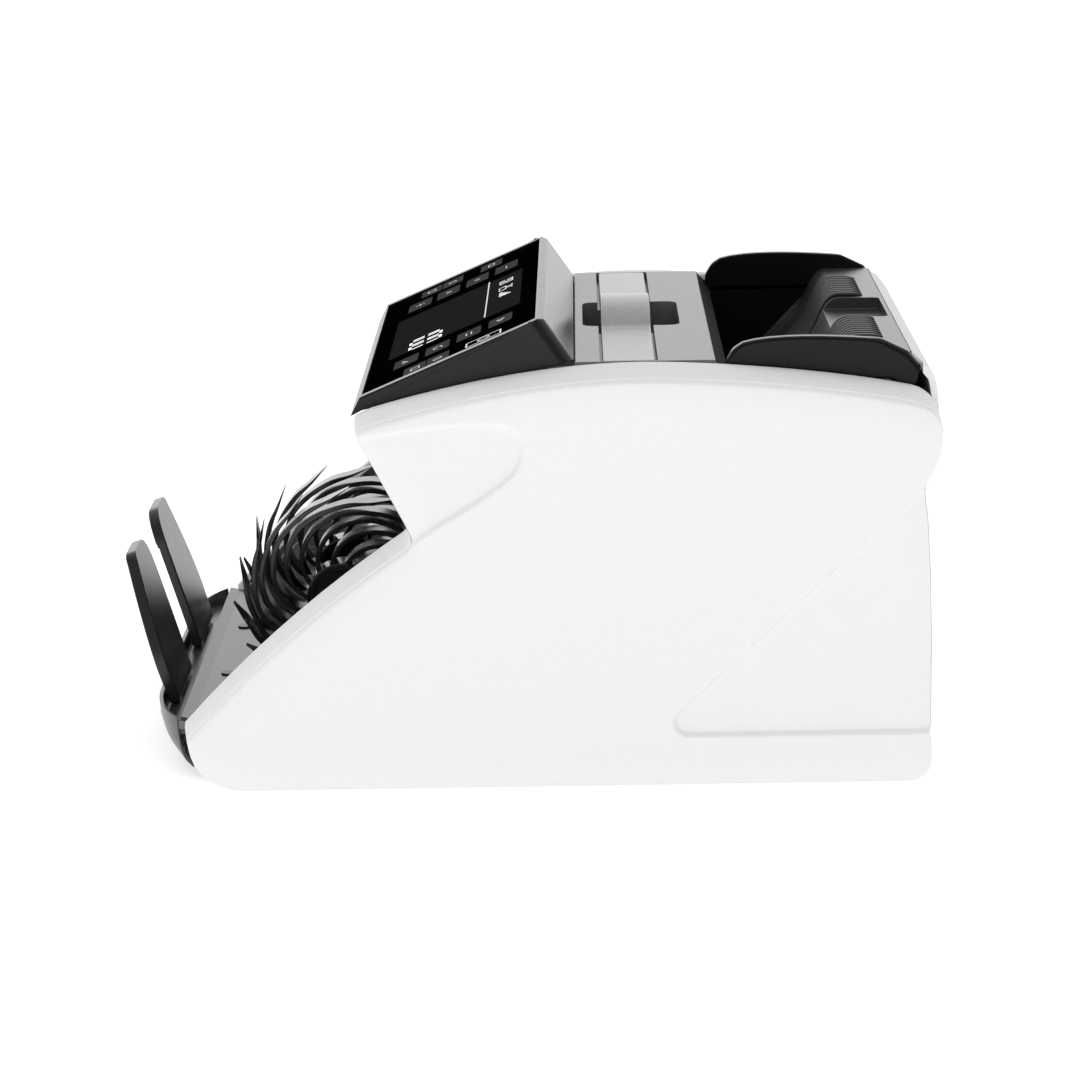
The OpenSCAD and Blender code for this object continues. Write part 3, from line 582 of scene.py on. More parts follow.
# Each ring of the shell: X from the inner edge, and how far it lies inside the outline
OUTER_RINGS = [(0, 1.0), (0.25, 0.35), (0.9, 0), (4, 0.15), (8, 0.55), (12, 1.15), (15.5, 1.75),
               (17.6, 2.2), (18.3, 2.45), (18.45, 2.75), (18.55, 2.95), (19.1, 3.1), (19.9, 3.35),
               (20.6, 3.75), (20.95, 4.3)]
INNER_RINGS = [(18.4, 4.6), (17.4, 4.5), (14, 3.4), (9, 2.8), (2, 2.6), (0, 2.5)]
RING_STEP = 1.3
GRID_STEP = 2.4
ROW_STEP = 0.55
ROW_POINTS = 1.4
# Rings beyond this X belong to the outer face and follow the recesses down
FACE_X = 18.5
CROWN = 1.05
CROWN_REACH = 9


def ring_points(distance, share=1):
    """The cover outline moved inwards, with every side cut into the same number of pieces."""
    coarse = np.array(COVER_OUTLINE, float)
    moved = inset(COVER_OUTLINE, distance * np.broadcast_to(share, len(coarse)))
    out = []
    starts = []
    for i in range(len(coarse)):
        j = (i + 1) % len(coarse)
        pieces = max(1, round(np.linalg.norm(coarse[j] - coarse[i]) / RING_STEP))
        starts.append(len(out))
        out += [moved[i] + (moved[j] - moved[i]) * k / pieces for k in range(pieces)]
    out = np.array(out)
    index = np.arange(len(out))
    for corner, reach, rounds in SOFT_CORNERS:
        at = starts[COVER_OUTLINE.index(corner)]
        away = np.minimum((index - at) % len(out), (at - index) % len(out)) * RING_STEP
        weight = (0.5 * (1 - smoothstep(reach * 0.5, reach, away)))[:, None]
        for _ in range(rounds):
            out += weight * ((np.roll(out, 1, 0) + np.roll(out, -1, 0)) / 2 - out)
    return out


def recess(points):
    """How far the shallow recesses lower the outer face at each YZ point."""
    edge = 1.1
    depth = np.zeros(len(points))
    for outline in (NOSE_RECESS, REAR_RECESS):
        inside = 1 - smoothstep(-edge, edge * 0.4, signed_distance(points, outline))
        depth = np.maximum(depth, RECESS_DEPTH * inside)
    return depth


def face_grid(boundary):
    """Points filling the boundary: a coarse grid, and close rows along the recess edges."""
    low, high = boundary.min(0), boundary.max(0)
    coarse = np.array([(y, z) for y in np.arange(low[0], high[0], GRID_STEP)
                       for z in np.arange(low[1], high[1], GRID_STEP)])
    near = []
    for outline in (NOSE_RECESS, REAR_RECESS):
        p = np.array(outline, float)
        for start, end in zip(p, np.roll(p, -1, 0)):
            run = end - start
            length = np.linalg.norm(run)
            side = np.array([run[1], -run[0]]) / length
            for k in range(int(length / ROW_POINTS) + 1):
                here = start + run * k * ROW_POINTS / length
                near += [here + side * ROW_STEP * row for row in range(-4, 5)]
    near = np.array(near)
    coarse = coarse[np.min([np.abs(signed_distance(coarse, o)) for o in (NOSE_RECESS, REAR_RECESS)],
                           axis=0) > 3]
    both = np.vstack([coarse, near])
    return both[signed_distance(both, boundary) < -0.9]


def side_cover(side):
    """One shell: rounded rim, soft crease, nearly flat face with its two recesses."""
    points = []
    faces = []

    def ring(x, outline):
        start = len(points)
        points.extend((COVER_IN + x, y, z) for y, z in outline)
        return start

    def bridge(a, b, count):
        faces.extend((a + i, a + (i + 1) % count, b + (i + 1) % count, b + i) for i in range(count))

    def cap(start, outline, height):
        count = len(outline)
        fill = face_grid(outline)
        flat = [Vector(p) for p in np.vstack([outline, fill])]
        edges = [(i, (i + 1) % count) for i in range(count)]
        verts, _, tris, origins, *_ = geometry.delaunay_2d_cdt(flat, edges, [], 1, 1e-5)
        index = []
        where = np.array([tuple(v) for v in verts])
        rise = height(where)
        for v, source, x in zip(verts, origins, rise):
            if source and source[0] < count:
                index.append(start + source[0])
            else:
                index.append(len(points))
                points.append((COVER_IN + x, v[0], v[1]))
        faces.extend(tuple(index[i] for i in tri) for tri in tris)

    width = COVER_OUT - COVER_IN
    last = OUTER_RINGS[-1]
    inner_end = ring_points(last[1], RIM_SHARE)

    def outer_face(where):
        away = -signed_distance(where, inner_end)
        crowned = last[0] + CROWN * smoothstep(-CROWN_REACH, CROWN_REACH, away) * 2 - CROWN
        return np.minimum(crowned, width - 0.02) - recess(where)

    starts = []
    for x, distance in OUTER_RINGS:
        outline = ring_points(distance, RIM_SHARE if x > 2 else 1)
        start = ring(x, outline)
        level = width - recess(outline)
        for i, top in enumerate(level):
            if x > FACE_X and COVER_IN + top < points[start + i][0] + 1.05:
                lowered = max(COVER_IN + FACE_X - 1.2, points[start + i][0] - (width - top))
                points[start + i] = (lowered, *points[start + i][1:])
        starts.append((start, outline))
    for (a, outline), (b, _) in zip(starts, starts[1:]):
        bridge(a, b, len(outline))
    cap(starts[-1][0], starts[-1][1], outer_face)

    inner = []
    for x, distance in reversed(INNER_RINGS):
        outline = ring_points(distance)
        inner.append((ring(x, outline), outline))
    bridge(inner[0][0], starts[0][0], len(inner[0][1]))
    for (a, outline), (b, _) in zip(inner, inner[1:]):
        bridge(b, a, len(outline))
    last_start, last_outline = inner[-1]
    faces.append(tuple(last_start + i for i in range(len(last_outline))))

    points = [(side * x, y, z) for x, y, z in points]
    name = "right" if side > 0 else "left"
    return piece(f"{name}_cover_shell", (points, faces), WHITE,
                 replaces=[f"{name}_side_cover"], sharp=40)


for side in (1, -1):
    side_cover(side)


# -------- display

SLOPE_FRONT = Vector((0, -55.4, 141))
SLOPE_RUN = Vector((0, 6.8, 167.4)) - SLOPE_FRONT
SLOPE = Matrix.Translation(SLOPE_FRONT) @ Matrix.Rotation(math.atan2(SLOPE_RUN.z, SLOPE_RUN.y), 4, "X")
SLOPE_LENGTH = SLOPE_RUN.length
GLASS_HALF = 93


def display_housing():
    outline = [(-59.8, 134.6), (-56.4, 141.4), (-0.9, 164.99), (7.4, 168.6), (9.8, 168), (20.1, 153),
               (10, 150.84), (-55.6, 136.8)]
    radii = [0.7, 0.7, 0.7, 1.5, 5, 0.7, 0.4, 0.4]
    half = MIDDLE - 0.1
    body = as_mesh(slab(outline, -half, half, radii, radii, 7, [0, 0.8, 0, 0.8, 1.2, 0.3, 0, 0]))
    seat = extruded(rectangle((-GLASS_HALF - 0.1, GLASS_HALF + 0.1), (-0.1, SLOPE_LENGTH + 0.1)), -1.6, 9)
    mesh = solid(body, cuts=[as_mesh(turned(seat, SLOPE))], bevel=0.25, segments=2)
    finish_piece("display_hood", mesh, HOUSING, replaces=["display_housing"])


def extruded(outline, low, high):
    """A sharp-edged plate from an outline in X and Y, between two heights."""
    return [(u, v, w) for w in (low, high) for u, v in outline], tube(len(outline), 2)


def display_glass():
    outline = filleted(rectangle((-GLASS_HALF + 0.1, GLASS_HALF - 0.1), (0.05, SLOPE_LENGTH - 0.05)), 1.2)
    plate = along_z(slab(outline, -1.5, 0, 0.2, 0.3, 4))
    piece("touch_panel", turned(plate, SLOPE), GLASS, replaces=["display_glass"])


def printed(name, outlines, finish, low=0.005, high=0.05):
    """Thin print on the touch glass from outlines across and up the slope."""
    shapes = [extruded(outline, low, high) for outline in outlines]
    piece(name, turned(together(shapes), SLOPE), finish, sharp=20)


def stroke(a, b, width):
    """A thin straight line as an outline."""
    along = np.array(b, float) - np.array(a, float)
    side = np.array([along[1], -along[0]]) / np.linalg.norm(along) * width / 2
    a, b = np.array(a, float), np.array(b, float)
    return [tuple(a - side), tuple(b - side), tuple(b + side), tuple(a + side)]


def path(points, width):
    return [stroke(a, b, width) for a, b in zip(points, points[1:])]


def box_line(centre, half, width):
    """A thin rectangular frame round a point."""
    (x, y), (u, v) = centre, half
    return path([(x - u, y - v), (x - u, y + v), (x + u, y + v), (x + u, y - v), (x - u, y - v)], width)


def circle(centre, radius, width, start=0, turn=360):
    angles = [math.radians(start + turn * k / 16) for k in range(17)]
    return path([(centre[0] + radius * math.cos(a), centre[1] + radius * math.sin(a)) for a in angles], width)


# Lit bars of the figures on the screen
SEGMENTS = {"0": "abcdef", "1": "bc", "2": "abged", "5": "afgcd", "8": "abcdefg"}


def digit(value, corner, size):
    """Seven-segment figure with its lower left corner and its width and height."""
    (x, y), (w, h) = corner, size
    ends = {
        "a": ((0, 1), (1, 1)), "b": ((1, 1), (1, 0.5)), "c": ((1, 0.5), (1, 0)), "d": ((0, 0), (1, 0)),
        "e": ((0, 0.5), (0, 0)), "f": ((0, 1), (0, 0.5)), "g": ((0, 0.5), (1, 0.5)),
    }
    width = w * 0.2
    out = []
    for name in SEGMENTS[value]:
        (ax, ay), (bx, by) = ends[name]
        a = Vector((x + ax * w, y + ay * h))
        b = Vector((x + bx * w, y + by * h))
        gap = (b - a).normalized() * width * 0.62
        out.append(stroke(a + gap, b - gap, width))
    return out


def figures(text, corner, size, pitch):
    out = []
    for i, value in enumerate(text):
        out += digit(value, (corner[0] + i * pitch, corner[1]), size)
    return out


SINGLE_KEYS = (
    [((-70, -53.5), s) for s in ((10.3, 20.4), (22.9, 32.7), (35.6, 45.3), (48.2, 58))]
    + [((51.5, 66.5), s) for s in ((10.5, 20.2), (23.1, 32.7), (35.7, 45.3), (48.4, 57.8))]
    + [((-91.2, -77), (41.3, 50.8))]
)
DOUBLE_KEYS = [((-91.2, -77), (15, 33.4)), ((75.3, 89.6), (15.4, 33.4))]


def key_icons():
    """Plain marks for the keys: plus, arrows, bars, a ring and the like."""
    def centre(key):
        return np.array([sum(key[0]) / 2, sum(key[1]) / 2])

    w = 0.45
    marks = [
        lambda c: path([c + (-2, 0), c + (2, 0)], w) + path([c + (0, -2), c + (0, 2)], w),
        lambda c: path([c + (-2, -1), c + (0, 1.2), c + (2, -1)], w),
        lambda c: path([c + (-2, 1), c + (0, -1.2), c + (2, 1)], w),
        lambda c: path([c + (-2.2, 0), c + (2.2, 0)], w),
        lambda c: sum([path([c + (x, -1.6), c + (x, x / 2)], 0.7) for x in (-1.8, 0, 1.8)], []),
        lambda c: circle(c, 1.7, w, 60, 300) + path([c + (0.9, 1.5), c + (2.1, 1.9)], w),
        lambda c: path([c + (-2.2, 1), c + (2.2, 1)], w) + path([c + (-2.2, -1), c + (2.2, -1)], w),
        lambda c: path([c + (-1.6, -1.5), c + (-1.6, 1.5), c + (1.6, 0), c + (-1.6, -1.5)], w),
        lambda c: box_line(c, (2.4, 1.2), w),
    ]
    out = []
    for key, mark in zip(SINGLE_KEYS, marks):
        out += mark(centre(key))
    for x, s in DOUBLE_KEYS:
        low = np.array([sum(x) / 2, s[0] + 4.6])
        high = np.array([sum(x) / 2, s[1] - 4.6])
        out += box_line(low, (2, 1.6), w)
        out += circle(high, 1.6, w)
    return out


def display_print():
    keys = [filleted(rectangle(x, s), 0.9) for x, s in SINGLE_KEYS]
    for x, (low, high) in DOUBLE_KEYS:
        middle = (low + high) / 2
        keys += [filleted(rectangle(x, half), 0.9) for half in ((low, middle - 0.25), (middle + 0.25, high))]
    printed("touch_keys", keys, KEY)
    printed("counter_window", [rectangle((-40.3, 40), (7, 60.5))], WINDOW)
    printed("window_rule", [stroke((-41, 46.2), (38, 46.2), 0.55)], INK, 0.05, 0.08)
    printed("count_figures", figures("100", (14, 15.6), (6.2, 12.4), 8.9), LIT, 0.05, 0.08)
    small = figures("08", (-29, 51.2), (2.6, 5.2), 4.2) + figures("25", (-14, 51.2), (2.6, 5.2), 4.2)
    small += [stroke((x, 51.3), (x, 52.6 + 1.2 * i), 1.1) for i, x in enumerate((-2, 0.4, 2.8, 5.2))]
    printed("status_figures", small, LIT, 0.05, 0.08)
    printed("key_icons", key_icons(), INK, 0.05, 0.08)
    note = box_line((82.4, 46.9), (3.8, 6.7), 0.7) + circle((82.4, 46.9), 2.2, 0.7)
    printed("note_pictogram", note, INK)


display_housing()
display_glass()
display_print()


# -------- top cover and handle

HANDLE_Y = (30.35, 48.85)
GROOVE_Y = (29.35, 49.85)
LEG_X = (-88, 88)
NOTCH_X = (-95.7, 95.7)
ARCH_RISE = 7
ARCH_HALF = 28
POCKET_X = 26
POCKET_Y = (23.4, 59.9)
TOP_Y = (20.4, 70)


def top_cover():
    z = TOP
    profile = filleted([(TOP_Y[0], z - 2.5), (TOP_Y[0], z), (TOP_Y[1], z), (75, z - 5.5), (75, z - 8),
                        (72.6, z - 8), (72.6, z - 5.5), (69, z - 2.5)], [0, 0.5, 1.2, 0.6, 0, 0, 0, 0])
    half = MIDDLE - 0.1
    floor = box_mesh((-half, half), (GROOVE_Y[0] - 2, GROOVE_Y[1] + 2), (z - 5.2, z - 2.4))
    cup = box_mesh((-POCKET_X - 2, POCKET_X + 2), (POCKET_Y[0] - 2, POCKET_Y[1] + 2), (z - 16, z - 2.4))
    groove = box_mesh((-96.5, 96.5), GROOVE_Y, (z - 3.1, z + 3))
    rim = filleted(rectangle((-POCKET_X, POCKET_X), POCKET_Y), 5, 7)
    pocket = as_mesh(along_z(slab(rim, z - 14, z + 4, 3, 0)))
    slots = [box_mesh((x - 2.3, x + 2.3), (33.3, 45.9), (z - 9, z)) for x in LEG_X]
    notches = [box_mesh((x - 3, x + 3), (73.6, 80), (z - 9, z + 1)) for x in NOTCH_X]
    mesh = solid(prism(profile, -half, half), cuts=[groove, pocket, *slots, *notches], adds=[floor, cup],
                 bevel=0.35, segments=2)
    # The panel's grey base colour is painted sheen.
    panel = finish_piece("top_panel", mesh, TOP_SHEEN_GREY, replaces=["top_cover"])
    # The rear slope faces take the matt black as painted shade.
    panel.data.materials.append(SLOPE_SHADE_BLACK)
    rear_slope = (TOP_Y[1] + 0.2) * MM
    for face in panel.data.polygons:
        if face.center.y > rear_slope and face.normal.y > 0.2:
            face.material_index = 1


def arch_height(x):
    """Height of the grip above the flat strip at a distance x from the middle, softly joined."""
    radius = (ARCH_HALF ** 2 + ARCH_RISE ** 2) / (2 * ARCH_RISE)
    offsets = np.linspace(-1.4, 1.4, 9)
    near = np.minimum(np.abs(x + offsets), radius)
    return float(np.mean(np.maximum(0, np.sqrt(radius ** 2 - near ** 2) - (radius - ARCH_RISE))))


def carry_handle():
    """A flat strip with rounded ends that rises into a grip over the finger pocket."""
    low, high = HANDLE_Y
    thick = 2.6
    end = 96
    corner = 1.3
    c = 0.55
    stations = sorted({end, *np.linspace(60, 95, 8), *np.linspace(30.5, 58, 8), *np.linspace(0, 30, 25),
                       *(end - corner * (1 - math.sin(a)) for a in np.linspace(0, math.pi / 2, 7))})
    stations = [-x for x in reversed(stations)] + [x for x in stations if x > 0]
    points = []
    for x in stations:
        rise = arch_height(x)
        reach = max(0, abs(x) - (end - corner))
        pull = corner - math.sqrt(max(0, corner ** 2 - reach ** 2))
        a, b = low + pull, high - pull
        top, bottom = TOP + rise, TOP + rise - thick
        ring = [(a + c, top), (b - c, top)]
        ring += [(b - c + c * math.sin(t), top - c + c * math.cos(t)) for t in np.linspace(0.4, 1.57, 4)]
        ring += [(b, bottom + 0.3), (b - 0.3, bottom), (a + 0.3, bottom), (a, bottom + 0.3)]
        ring += [(a + c - c * math.sin(t), top - c + c * math.cos(t)) for t in np.linspace(1.57, 0.4, 4)]
        points += [(x, y, z) for y, z in ring]
    faces = tube(len(points) // len(stations), len(stations))
    legs = [box_mesh((x - 2, x + 2), (33.6, 45.6), (119, TOP - thick + 0.4)) for x in LEG_X]
    mesh = solid(as_mesh((points, faces)), adds=legs)
    # The strip's light grey base colour is painted sheen.
    finish_piece("grip_strip", mesh, GRIP_SHEEN_GREY, "handle", replaces=["carry_handle"], sharp=40)


top_cover()
carry_handle()


# -------- hopper and back

PLATE_LINE = (
    [(82.5, 109.1)]
    + curve((108, 134.6), (116, 142.6), (115.5, SHELF), (123, SHELF), 16)
    + [(123, SHELF), (139.7, SHELF)]
)
RIB_COUNT = 10
RIB_PITCH = 4.3
RIB_FIRST = 25.8
RIB_HALF = 2.1
RIB_POINT = 0.15
CHANNEL_X = 21
CHANNEL_Y = (118, 138.2)
CHANNEL_DEPTH = 4.6


def hopper_plate():
    half = PLATE_HALF - 0.1
    windows = [box_mesh((x - 6.8, x + 6.8), (88, 108.4), (100, 136)) for x in (-12, 12)]
    rim = filleted(rectangle((-CHANNEL_X, CHANNEL_X), (CHANNEL_Y[0] - 8, CHANNEL_Y[1])), 2.5)
    channel = as_mesh(along_z(slab(rim, SHELF - CHANNEL_DEPTH, SHELF + 2, 0.6, 0)))
    cup = box_mesh((-CHANNEL_X - 2, CHANNEL_X + 2), (118.6, 139.7), (SHELF - CHANNEL_DEPTH - 2, SHELF - 2.9))
    eye = rod_mesh((0, 90, 116.6), (0, -1, 1), 3.1, 12)
    mesh = solid(prism(sheet(PLATE_LINE, 3), -half, half), cuts=[*windows, channel, eye], adds=[cup],
                 bevel=0.35, segments=2)
    finish_piece("hopper_ramp", mesh, SHELF_DARK, replaces=["hopper_feed_plate"])


def hopper_ribs():
    """Ribs on the ramp that end in a row of pointed teeth on the shelf."""
    top = ([(99.4, 126.6)] + curve((108, 136), (115, 143), (114.5, SHELF + 1), (123, SHELF + 1.5), 16)
           + [(123, SHELF + 1.5), (128.6, SHELF + 1.4), (132.4, SHELF + 0.5)])
    under = sheet(top, 1.7)[len(top):][::-1]
    shapes = []
    for i in range(RIB_COUNT):
        middle = RIB_FIRST + RIB_PITCH * i
        points = []
        for k, (high, low) in enumerate(zip(top, under)):
            wide = RIB_POINT if k == len(top) - 1 else RIB_HALF
            side = tuple(0.35 * np.array(low) + 0.65 * np.array(high))
            points += [(middle + x * wide, *yz) for x, yz in
                       ((-1, low), (-1, side), (-0.45, high), (0.45, high), (1, side), (1, low))]
        rib = points, tube(6, len(top))
        shapes += [rib, mirrored(rib)]
    piece("hopper_ribs", together(shapes), RIB, sharp=25)


def hopper_cheeks():
    corners = [(73.9, 145.2), (73.9, 152.4), (76.5, 156.6)]
    corners += curve((80, 158.8), (92, 162.2), (116, 160.5), (129, 159.4), 9)
    corners += [(129, 159.4), (138.5, 154.8), (143.2, 149.2), (141.4, 143), (137.4, 141.4), (132.4, 145.2)]
    rounds = [0, 5, 6] + [0] * 9 + [7, 3, 1.2, 0.5, 0, 0]
    rims = [0.7, 1.3, 1.3] + [1.3] * 9 + [2.4, 2.4, 0.7, 0.7, 0.7, 0.7]
    skirt = [(76, 112), (76, 147.6), (118, 147.6), (82, 110.2)]
    shapes = [
        slab(corners, 92.95, 97.35, 0.7, rims, 7, rounds),
        slab(skirt, 92.95, 93.85, 0.2, 0.2, 2),
    ]
    both = together(shapes)
    piece("right_cheek", both, CHEEK, replaces=["right_hopper_cheek"])
    piece("left_cheek", mirrored(both), CHEEK, replaces=["left_hopper_cheek"])


def front_wall():
    half = PLATE_HALF - 0.1
    slots = [as_mesh(along_y(slab(filleted(rectangle((x - 7, x + 7), (104, 134.5)), 3), 70, 78, 0, 0)))
             for x in (-20, 20)]
    mesh = solid(box_mesh((-half, half), (73, 75), (108, TOP - 8)), cuts=slots, bevel=0.3, segments=2)
    finish_piece("hopper_wall", mesh, BLACK, replaces=["hopper_front_wall"])


BACK_LINE = (
    [(140.1, SHELF), (144.6, 149.6)]
    + curve((147.6, 146), (149, 142), (149.4, 136), (149.4, 129.5), 10)
    + curve((149.4, 129.5), (149.4, 122), (147, 116), (142.6, 110), 8)
    + [(142.6, 110), (143.2, 104)] + [(144.2, 97), (145.4, 78), (145.9, 55), (146, 5)]
)
# X and Z of each screw, and Y of the cover's face there
REAR_SCREWS = [(x, z, face) for z, face in ((20, 146), (92, 144.5)) for x in (-88, 88)]


def rear_cover():
    half = COVER_IN - 0.12
    cuts = [box_mesh((-half, half), (130, 140), (140, 156))]
    openings = [((48, 76), (21, 41)), ((19.5, 32.5), (21.5, 40.5)), ((-58.5, -45.5), (27.5, 38.5))]
    cuts += [box_mesh(x, (130, 160), z) for x, z in openings]
    cuts += [rod_mesh((-6, 145, 31), (0, 1, 0), 6.15, 30, 40)]
    for x, z, face in REAR_SCREWS:
        cuts += [rod_mesh((x, 145, z), (0, 1, 0), 1.65, 30, 20),
                 rod_mesh((x, face + 3.5, z), (0, 1, 0), 3.5, 10, 32)]
    for x in range(-80, -27, 4):
        slot = filleted(rectangle((x, x + 2), (58, 86)), 0.9, 3)
        cuts.append(as_mesh(along_y(slab(slot, 130, 160, 0, 0))))
    cuts += [box_mesh((x - 3, x + 3), (130, 143.6), (142.5, 156)) for x in NOTCH_X]
    mesh = solid(prism(sheet(BACK_LINE, 2.4), -half, half), cuts=cuts, bevel=0.4, segments=2)
    finish_piece("rear_panel", mesh, WHITE, replaces=["rear_cover"])


hopper_plate()
hopper_ribs()
hopper_cheeks()
front_wall()
rear_cover()


# -------- stacker

WHEEL_AT = (-69.6, 49)
WHEEL_X = 21
TRAY_LINE = (
    [(-125.4, 23.4), (-121, 22.4)]
    + curve((-104, 22.4), (-96, 24), (-87, 41), (-69.6, 56.6), 16)
    + curve((-69.6, 56.6), (-60, 64.4), (-48, 70), (-36.5, 75.5), 6)
    + [(-36.5, 75.5)]
)


def stack_tray():
    line = filleted(TRAY_LINE, 3, 5, closed=False)
    slots = []
    for x in (-WHEEL_X, WHEEL_X):
        rim = filleted(rectangle((x - 6.8, x + 6.8), (-107.5, -26)), 3)
        slots.append(as_mesh(along_z(slab(rim, 10, 96, 0, 0))))
    eyes = [rod_mesh((x, -114, 22), (0, 0, 1), 2.7, 14, 24) for x in (-34, 34)]
    ends = [rod_mesh((x, *WHEEL_AT), (1, 0, 0), 6.2, 2.8, 32) for x in (-94, 94)]
    mesh = solid(prism(sheet(line, 1.6), -93.9, 93.9), cuts=[*slots, *eyes, *ends], bevel=0.35, segments=2)
    finish_piece("stacker_tray", mesh, TRAY, replaces=["stack_tray"])


STOP_LEAN = math.radians(16.7)
STOP_FOOT = Vector((0, -129.4, 20))
STOP_TOP = 56.4
STOP_TABS = ((22, 28), (50, 56))
BUMPER_FRONT = -137.3


def stop_plates():
    h = STOP_TOP
    outline = ([(17, 0), (17, 42)] + curve((17.5, 46), (18.5, 52), (22, h), (28, h), 7) + [(28, h), (44, h)]
               + curve((44, h), (47, h), (48.5, h - 1.5), (49, h - 4), 5)[1:]
               + curve((49, h - 4), (54, 44), (62.5, 26), (62.5, 14), 12) + [(62.5, 14), (61, 0)])
    body = as_mesh(along_z(slab(outline, 0, 4.2, 0.6, 0.7, 5)))
    dish = as_mesh(along_z(slab([tuple(p) for p in inset(outline, 2.1)], 2, 6, 0.5, 0)))
    step = as_mesh(extruded(rectangle((10, 19.1), (-2, 44)), 3.4, 6))
    mesh = solid(body, cuts=[dish, step])
    mesh.transform(Matrix.Translation(STOP_FOOT * MM) @ Matrix.Rotation(math.pi / 2 + STOP_LEAN, 4, "X"))
    tabs = [box_mesh(x, (-132.4, -130.2), (15.4, 20.8)) for x in STOP_TABS]
    mesh = joined([mesh, *tabs])
    finish_piece("right_stop", mesh, SMOKE, replaces=["right_stop_plate"])
    other = mesh.copy()
    other.transform(Matrix.Scale(-1, 4, (1, 0, 0)))
    other.flip_normals()
    finish_piece("left_stop", other, SMOKE, replaces=["left_stop_plate"])


def bumper_plan():
    """XY points along the bowed front of the apron, from left to right."""
    end = (93.8, -126.9)
    right = curve((54, BUMPER_FRONT), (72, BUMPER_FRONT), (84, BUMPER_FRONT + 4), end, 12) + [end]
    return [(-x, y) for x, y in reversed(right)] + right


def front_bumper():
    """A bowed apron whose underside draws in towards the base, with a shelf for the stops."""
    rear = -121.6
    line = [(rear, 3.8), (-130, 6.8), (-134.9, 10.9), (-137, 18.5), (BUMPER_FRONT, 23)]
    wall = sheet(filleted(line, [0, 14, 12, 20, 0], 5, closed=False), 1.7)
    plan = bumper_plan()
    points = []
    for x, y in plan:
        share = (y - rear) / (BUMPER_FRONT - rear)
        points += [(x, rear + (py - rear) * share, pz) for py, pz in wall]
    lip = solid(as_mesh((points, tube(len(wall), len(plan)))), bevel=0.35, segments=3, angle=40)
    inner = [(x * 0.99, y + 0.9) for x, y in plan] + [(92.8, -122.6), (-92.8, -122.6)]
    shelf = as_mesh(along_z(slab(inner[::-1], 16.4, 18.2, 0.2, 0.2)))
    finish_piece("stack_apron", joined([lip, shelf]), BUMPER, replaces=["front_bumper"])


WHEEL_R = 42.8
HUB_R = 14
FIN_COUNT = 15
FIN_HALF_WIDTH = 4.5
FIN_HALF_THICKNESS = 0.95
FIN_TAPER = 22
FIN_TIPS = {1: 110, -1: 101}
# Angle behind the tip, and radius of the fin's middle line there as a share of WHEEL_R
FIN_LINE = [(0, 0.996), (3, 0.963), (9, 0.911), (14, 0.881), (21, 0.86), (34, 0.814), (47, 0.779),
            (56, 0.755), (75, 0.664), (90, 0.571), (104, 0.455), (118, 0.303)]


def fin_point(behind, tip):
    """YZ point on a fin's middle line, with the stations of FIN_LINE blended softly."""
    spread = max(0, min(2.5, behind))
    share = np.mean(np.interp(np.linspace(behind - spread, behind + spread, 7), *zip(*FIN_LINE)))
    angle = math.radians(tip + behind)
    return WHEEL_R * share * np.array([math.cos(angle), math.sin(angle)])


def fin(tip):
    """One long fin, nearly concentric with the wheel, whose tip flicks outwards to a point."""
    stations = [0, 0.7, 1.6, 2.6, 3.8, 5.2, 7, 9, 11.5, 14, 17, 20, 23] + list(range(27, 119, 4)) + [118]
    points = []
    for behind in stations:
        along = fin_point(behind + 0.4, tip) - fin_point(behind - 0.4, tip)
        along /= np.linalg.norm(along)
        normal = np.array([-along[1], along[0]])
        centre = fin_point(behind, tip) + WHEEL_AT
        thin = FIN_HALF_THICKNESS * min(1, 0.1 + 0.9 * behind / FIN_TAPER)
        wide = FIN_HALF_WIDTH * min(1, 0.35 + 0.65 * behind / 9)
        edge = min(0.28, thin * 0.6)
        for x, w in ((-wide, thin - edge), (edge - wide, thin), (wide - edge, thin), (wide, thin - edge),
                     (wide, edge - thin), (wide - edge, -thin), (edge - wide, -thin), (-wide, edge - thin)):
            points.append((x, *(centre + normal * w)))
    return points, tube(8, len(stations))


def stacker_wheel(side):
    hub = [(-6, 4.4), (-6, 5.6), (-5.4, 6.2), (-4.6, 6.4), (-4.6, 11.2), (-5.4, 11.6), (-5.6, 13.4),
           (-5.2, HUB_R), (5.2, HUB_R), (5.6, 13.4), (5.4, 11.6), (4.6, 11.2), (4.6, 6.4), (5.4, 6.2),
           (6, 5.6), (6, 4.4)]
    shapes = [fin(FIN_TIPS[side] + 360 / FIN_COUNT * k) for k in range(FIN_COUNT)]
    points, faces = together([*shapes, lathe(hub, WHEEL_AT, 72)])
    points = [(x + side * WHEEL_X, y, z) for x, y, z in points]
    name = "right" if side > 0 else "left"
    piece(f"{name}_finned_wheel", (points, faces), FIN, "stacker",
          replaces=[f"{name}_stacker_wheel"], sharp=35)


stack_tray()
stop_plates()
front_bumper()
for side in (1, -1):
    stacker_wheel(side)


# -------- softened edges on carried-over nodes

EDGES = {
    0.25: "left_frame right_frame upper_note_guide lower_note_guide base_screws",
    0.3: "display_board base_plate switch_body display_port main_board speed_sensor sensor_bar cover_screws",
    0.35: "rear_cover_screws",
    0.4: "handle_guides power_inlet power_board frame_tie_rods",
    0.5: "rubber_feet power_switch fuse_holder exit_rollers transport_rollers exit_idlers transport_idlers",
    0.6: "transformer feed_rollers pickup_rollers retard_rollers",
    0.8: "main_motor feed_motor",
}


def soften(name, width):
    node = NODES[name]
    weld = node.modifiers.new("weld", "WELD")
    weld.merge_threshold = 0.00001
    edge = node.modifiers.new("edge", "BEVEL")
    edge.width = width * MM
    edge.segments = 2
    edge.limit_method = "ANGLE"
    edge.angle_limit = math.radians(32)
    flat_faces(node)


for width, names in EDGES.items():
    for name in names.split():
        soften(name, width)


# -------- camera, light and floor

CAMERA_AT = (1.28193, 0.02254, 0.37833)
CAMERA_LENS = 113.33
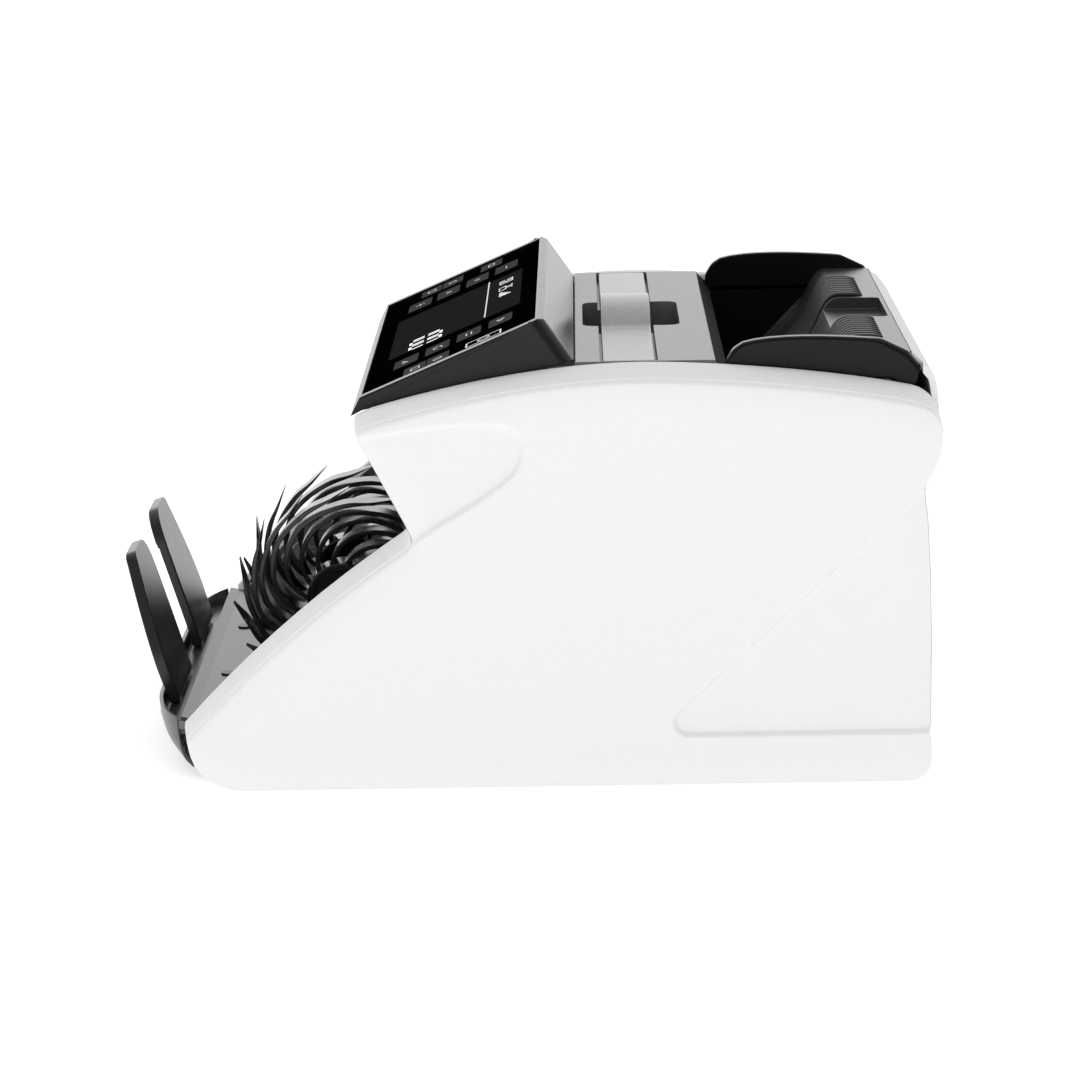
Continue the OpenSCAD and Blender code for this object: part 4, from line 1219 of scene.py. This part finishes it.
# Pitch, yaw and roll in degrees
CAMERA_TURN = (13.755, -0.759, -1.116)


def add_camera():
    data = bpy.data.cameras.new("camera")
    data.sensor_width = 36
    data.lens = CAMERA_LENS
    data.clip_end = 50
    pitch, yaw, roll = (math.radians(a) for a in CAMERA_TURN)
    forward = Vector((-math.cos(pitch) * math.cos(yaw), math.cos(pitch) * math.sin(yaw), -math.sin(pitch)))
    level = forward.cross(Vector((0, 0, 1))).normalized()
    above = level.cross(forward)
    right = level * math.cos(roll) + above * math.sin(roll)
    up = above * math.cos(roll) - level * math.sin(roll)
    turn = Matrix((right, up, -forward)).transposed().to_4x4()
    camera = added("camera", data)
    camera.matrix_world = Matrix.Translation(CAMERA_AT) @ turn
    bpy.context.scene.camera = camera


def add_softbox(name, place, target, size, power, mirrored_only=False):
    data = bpy.data.lights.new(name, "AREA")
    data.shape = "RECTANGLE"
    data.size, data.size_y = size
    data.energy = power
    lamp = added(name, data)
    lamp.visible_glossy = mirrored_only
    lamp.visible_diffuse = not mirrored_only
    lamp.location = place
    lamp.rotation_euler = (Vector(target) - Vector(place)).to_track_quat("-Z", "Y").to_euler()


def add_floor():
    s = Surface("studio_floor", 0.9, Specular_IOR_Level=0.1, Emission_Strength=0.45, Emission_Color=rgb(1))
    s.colour(s.noise(1.5, 2), 0.91, 0.92)
    mesh = bpy.data.meshes.new("studio_floor")
    reach = 14
    mesh.from_pydata([(-reach, -reach, 0), (reach, -reach, 0), (reach, reach, 0), (-reach, reach, 0)],
                     [], [(0, 1, 2, 3)])
    mesh.materials.append(s.material)
    floor = added("studio_floor", mesh)


def add_light():
    """A pale studio, dimmer on the near side, with a wide panel that only shows in reflections."""
    world = bpy.data.worlds.new("studio")
    world.use_nodes = True
    tree = world.node_tree
    split = tree.nodes.new("ShaderNodeSeparateXYZ")
    place = tree.nodes.new("ShaderNodeTexCoord").outputs["Generated"]
    tree.links.new(place, split.inputs["Vector"])
    both = tree.nodes.new("ShaderNodeMix")
    both.data_type = "RGBA"
    both.blend_type = "MULTIPLY"
    both.inputs["Factor"].default_value = 1
    tree.links.new(ramp(tree, split.outputs["Z"], (0.2, 1), (1, 0.88)), both.inputs["A"])
    tree.links.new(ramp(tree, split.outputs["X"], (0, 1), (0.7, 0.3)), both.inputs["B"])
    sky = tree.nodes["Background"]
    tree.links.new(both.outputs["Result"], sky.inputs["Color"])
    sky.inputs["Strength"].default_value = 1.12
    bpy.context.scene.world = world
    add_softbox("near_box", (2.6, -0.4, 0.9), (0, 0, 0.08), (2.4, 1.8), 28)
    add_softbox("far_panel", (-4, -0.5, 1.4), (0, 0, 0.15), (8, 3), 40, mirrored_only=True)


add_camera()
add_light()
add_floor()
bpy.context.scene.view_settings.view_transform = "Standard"
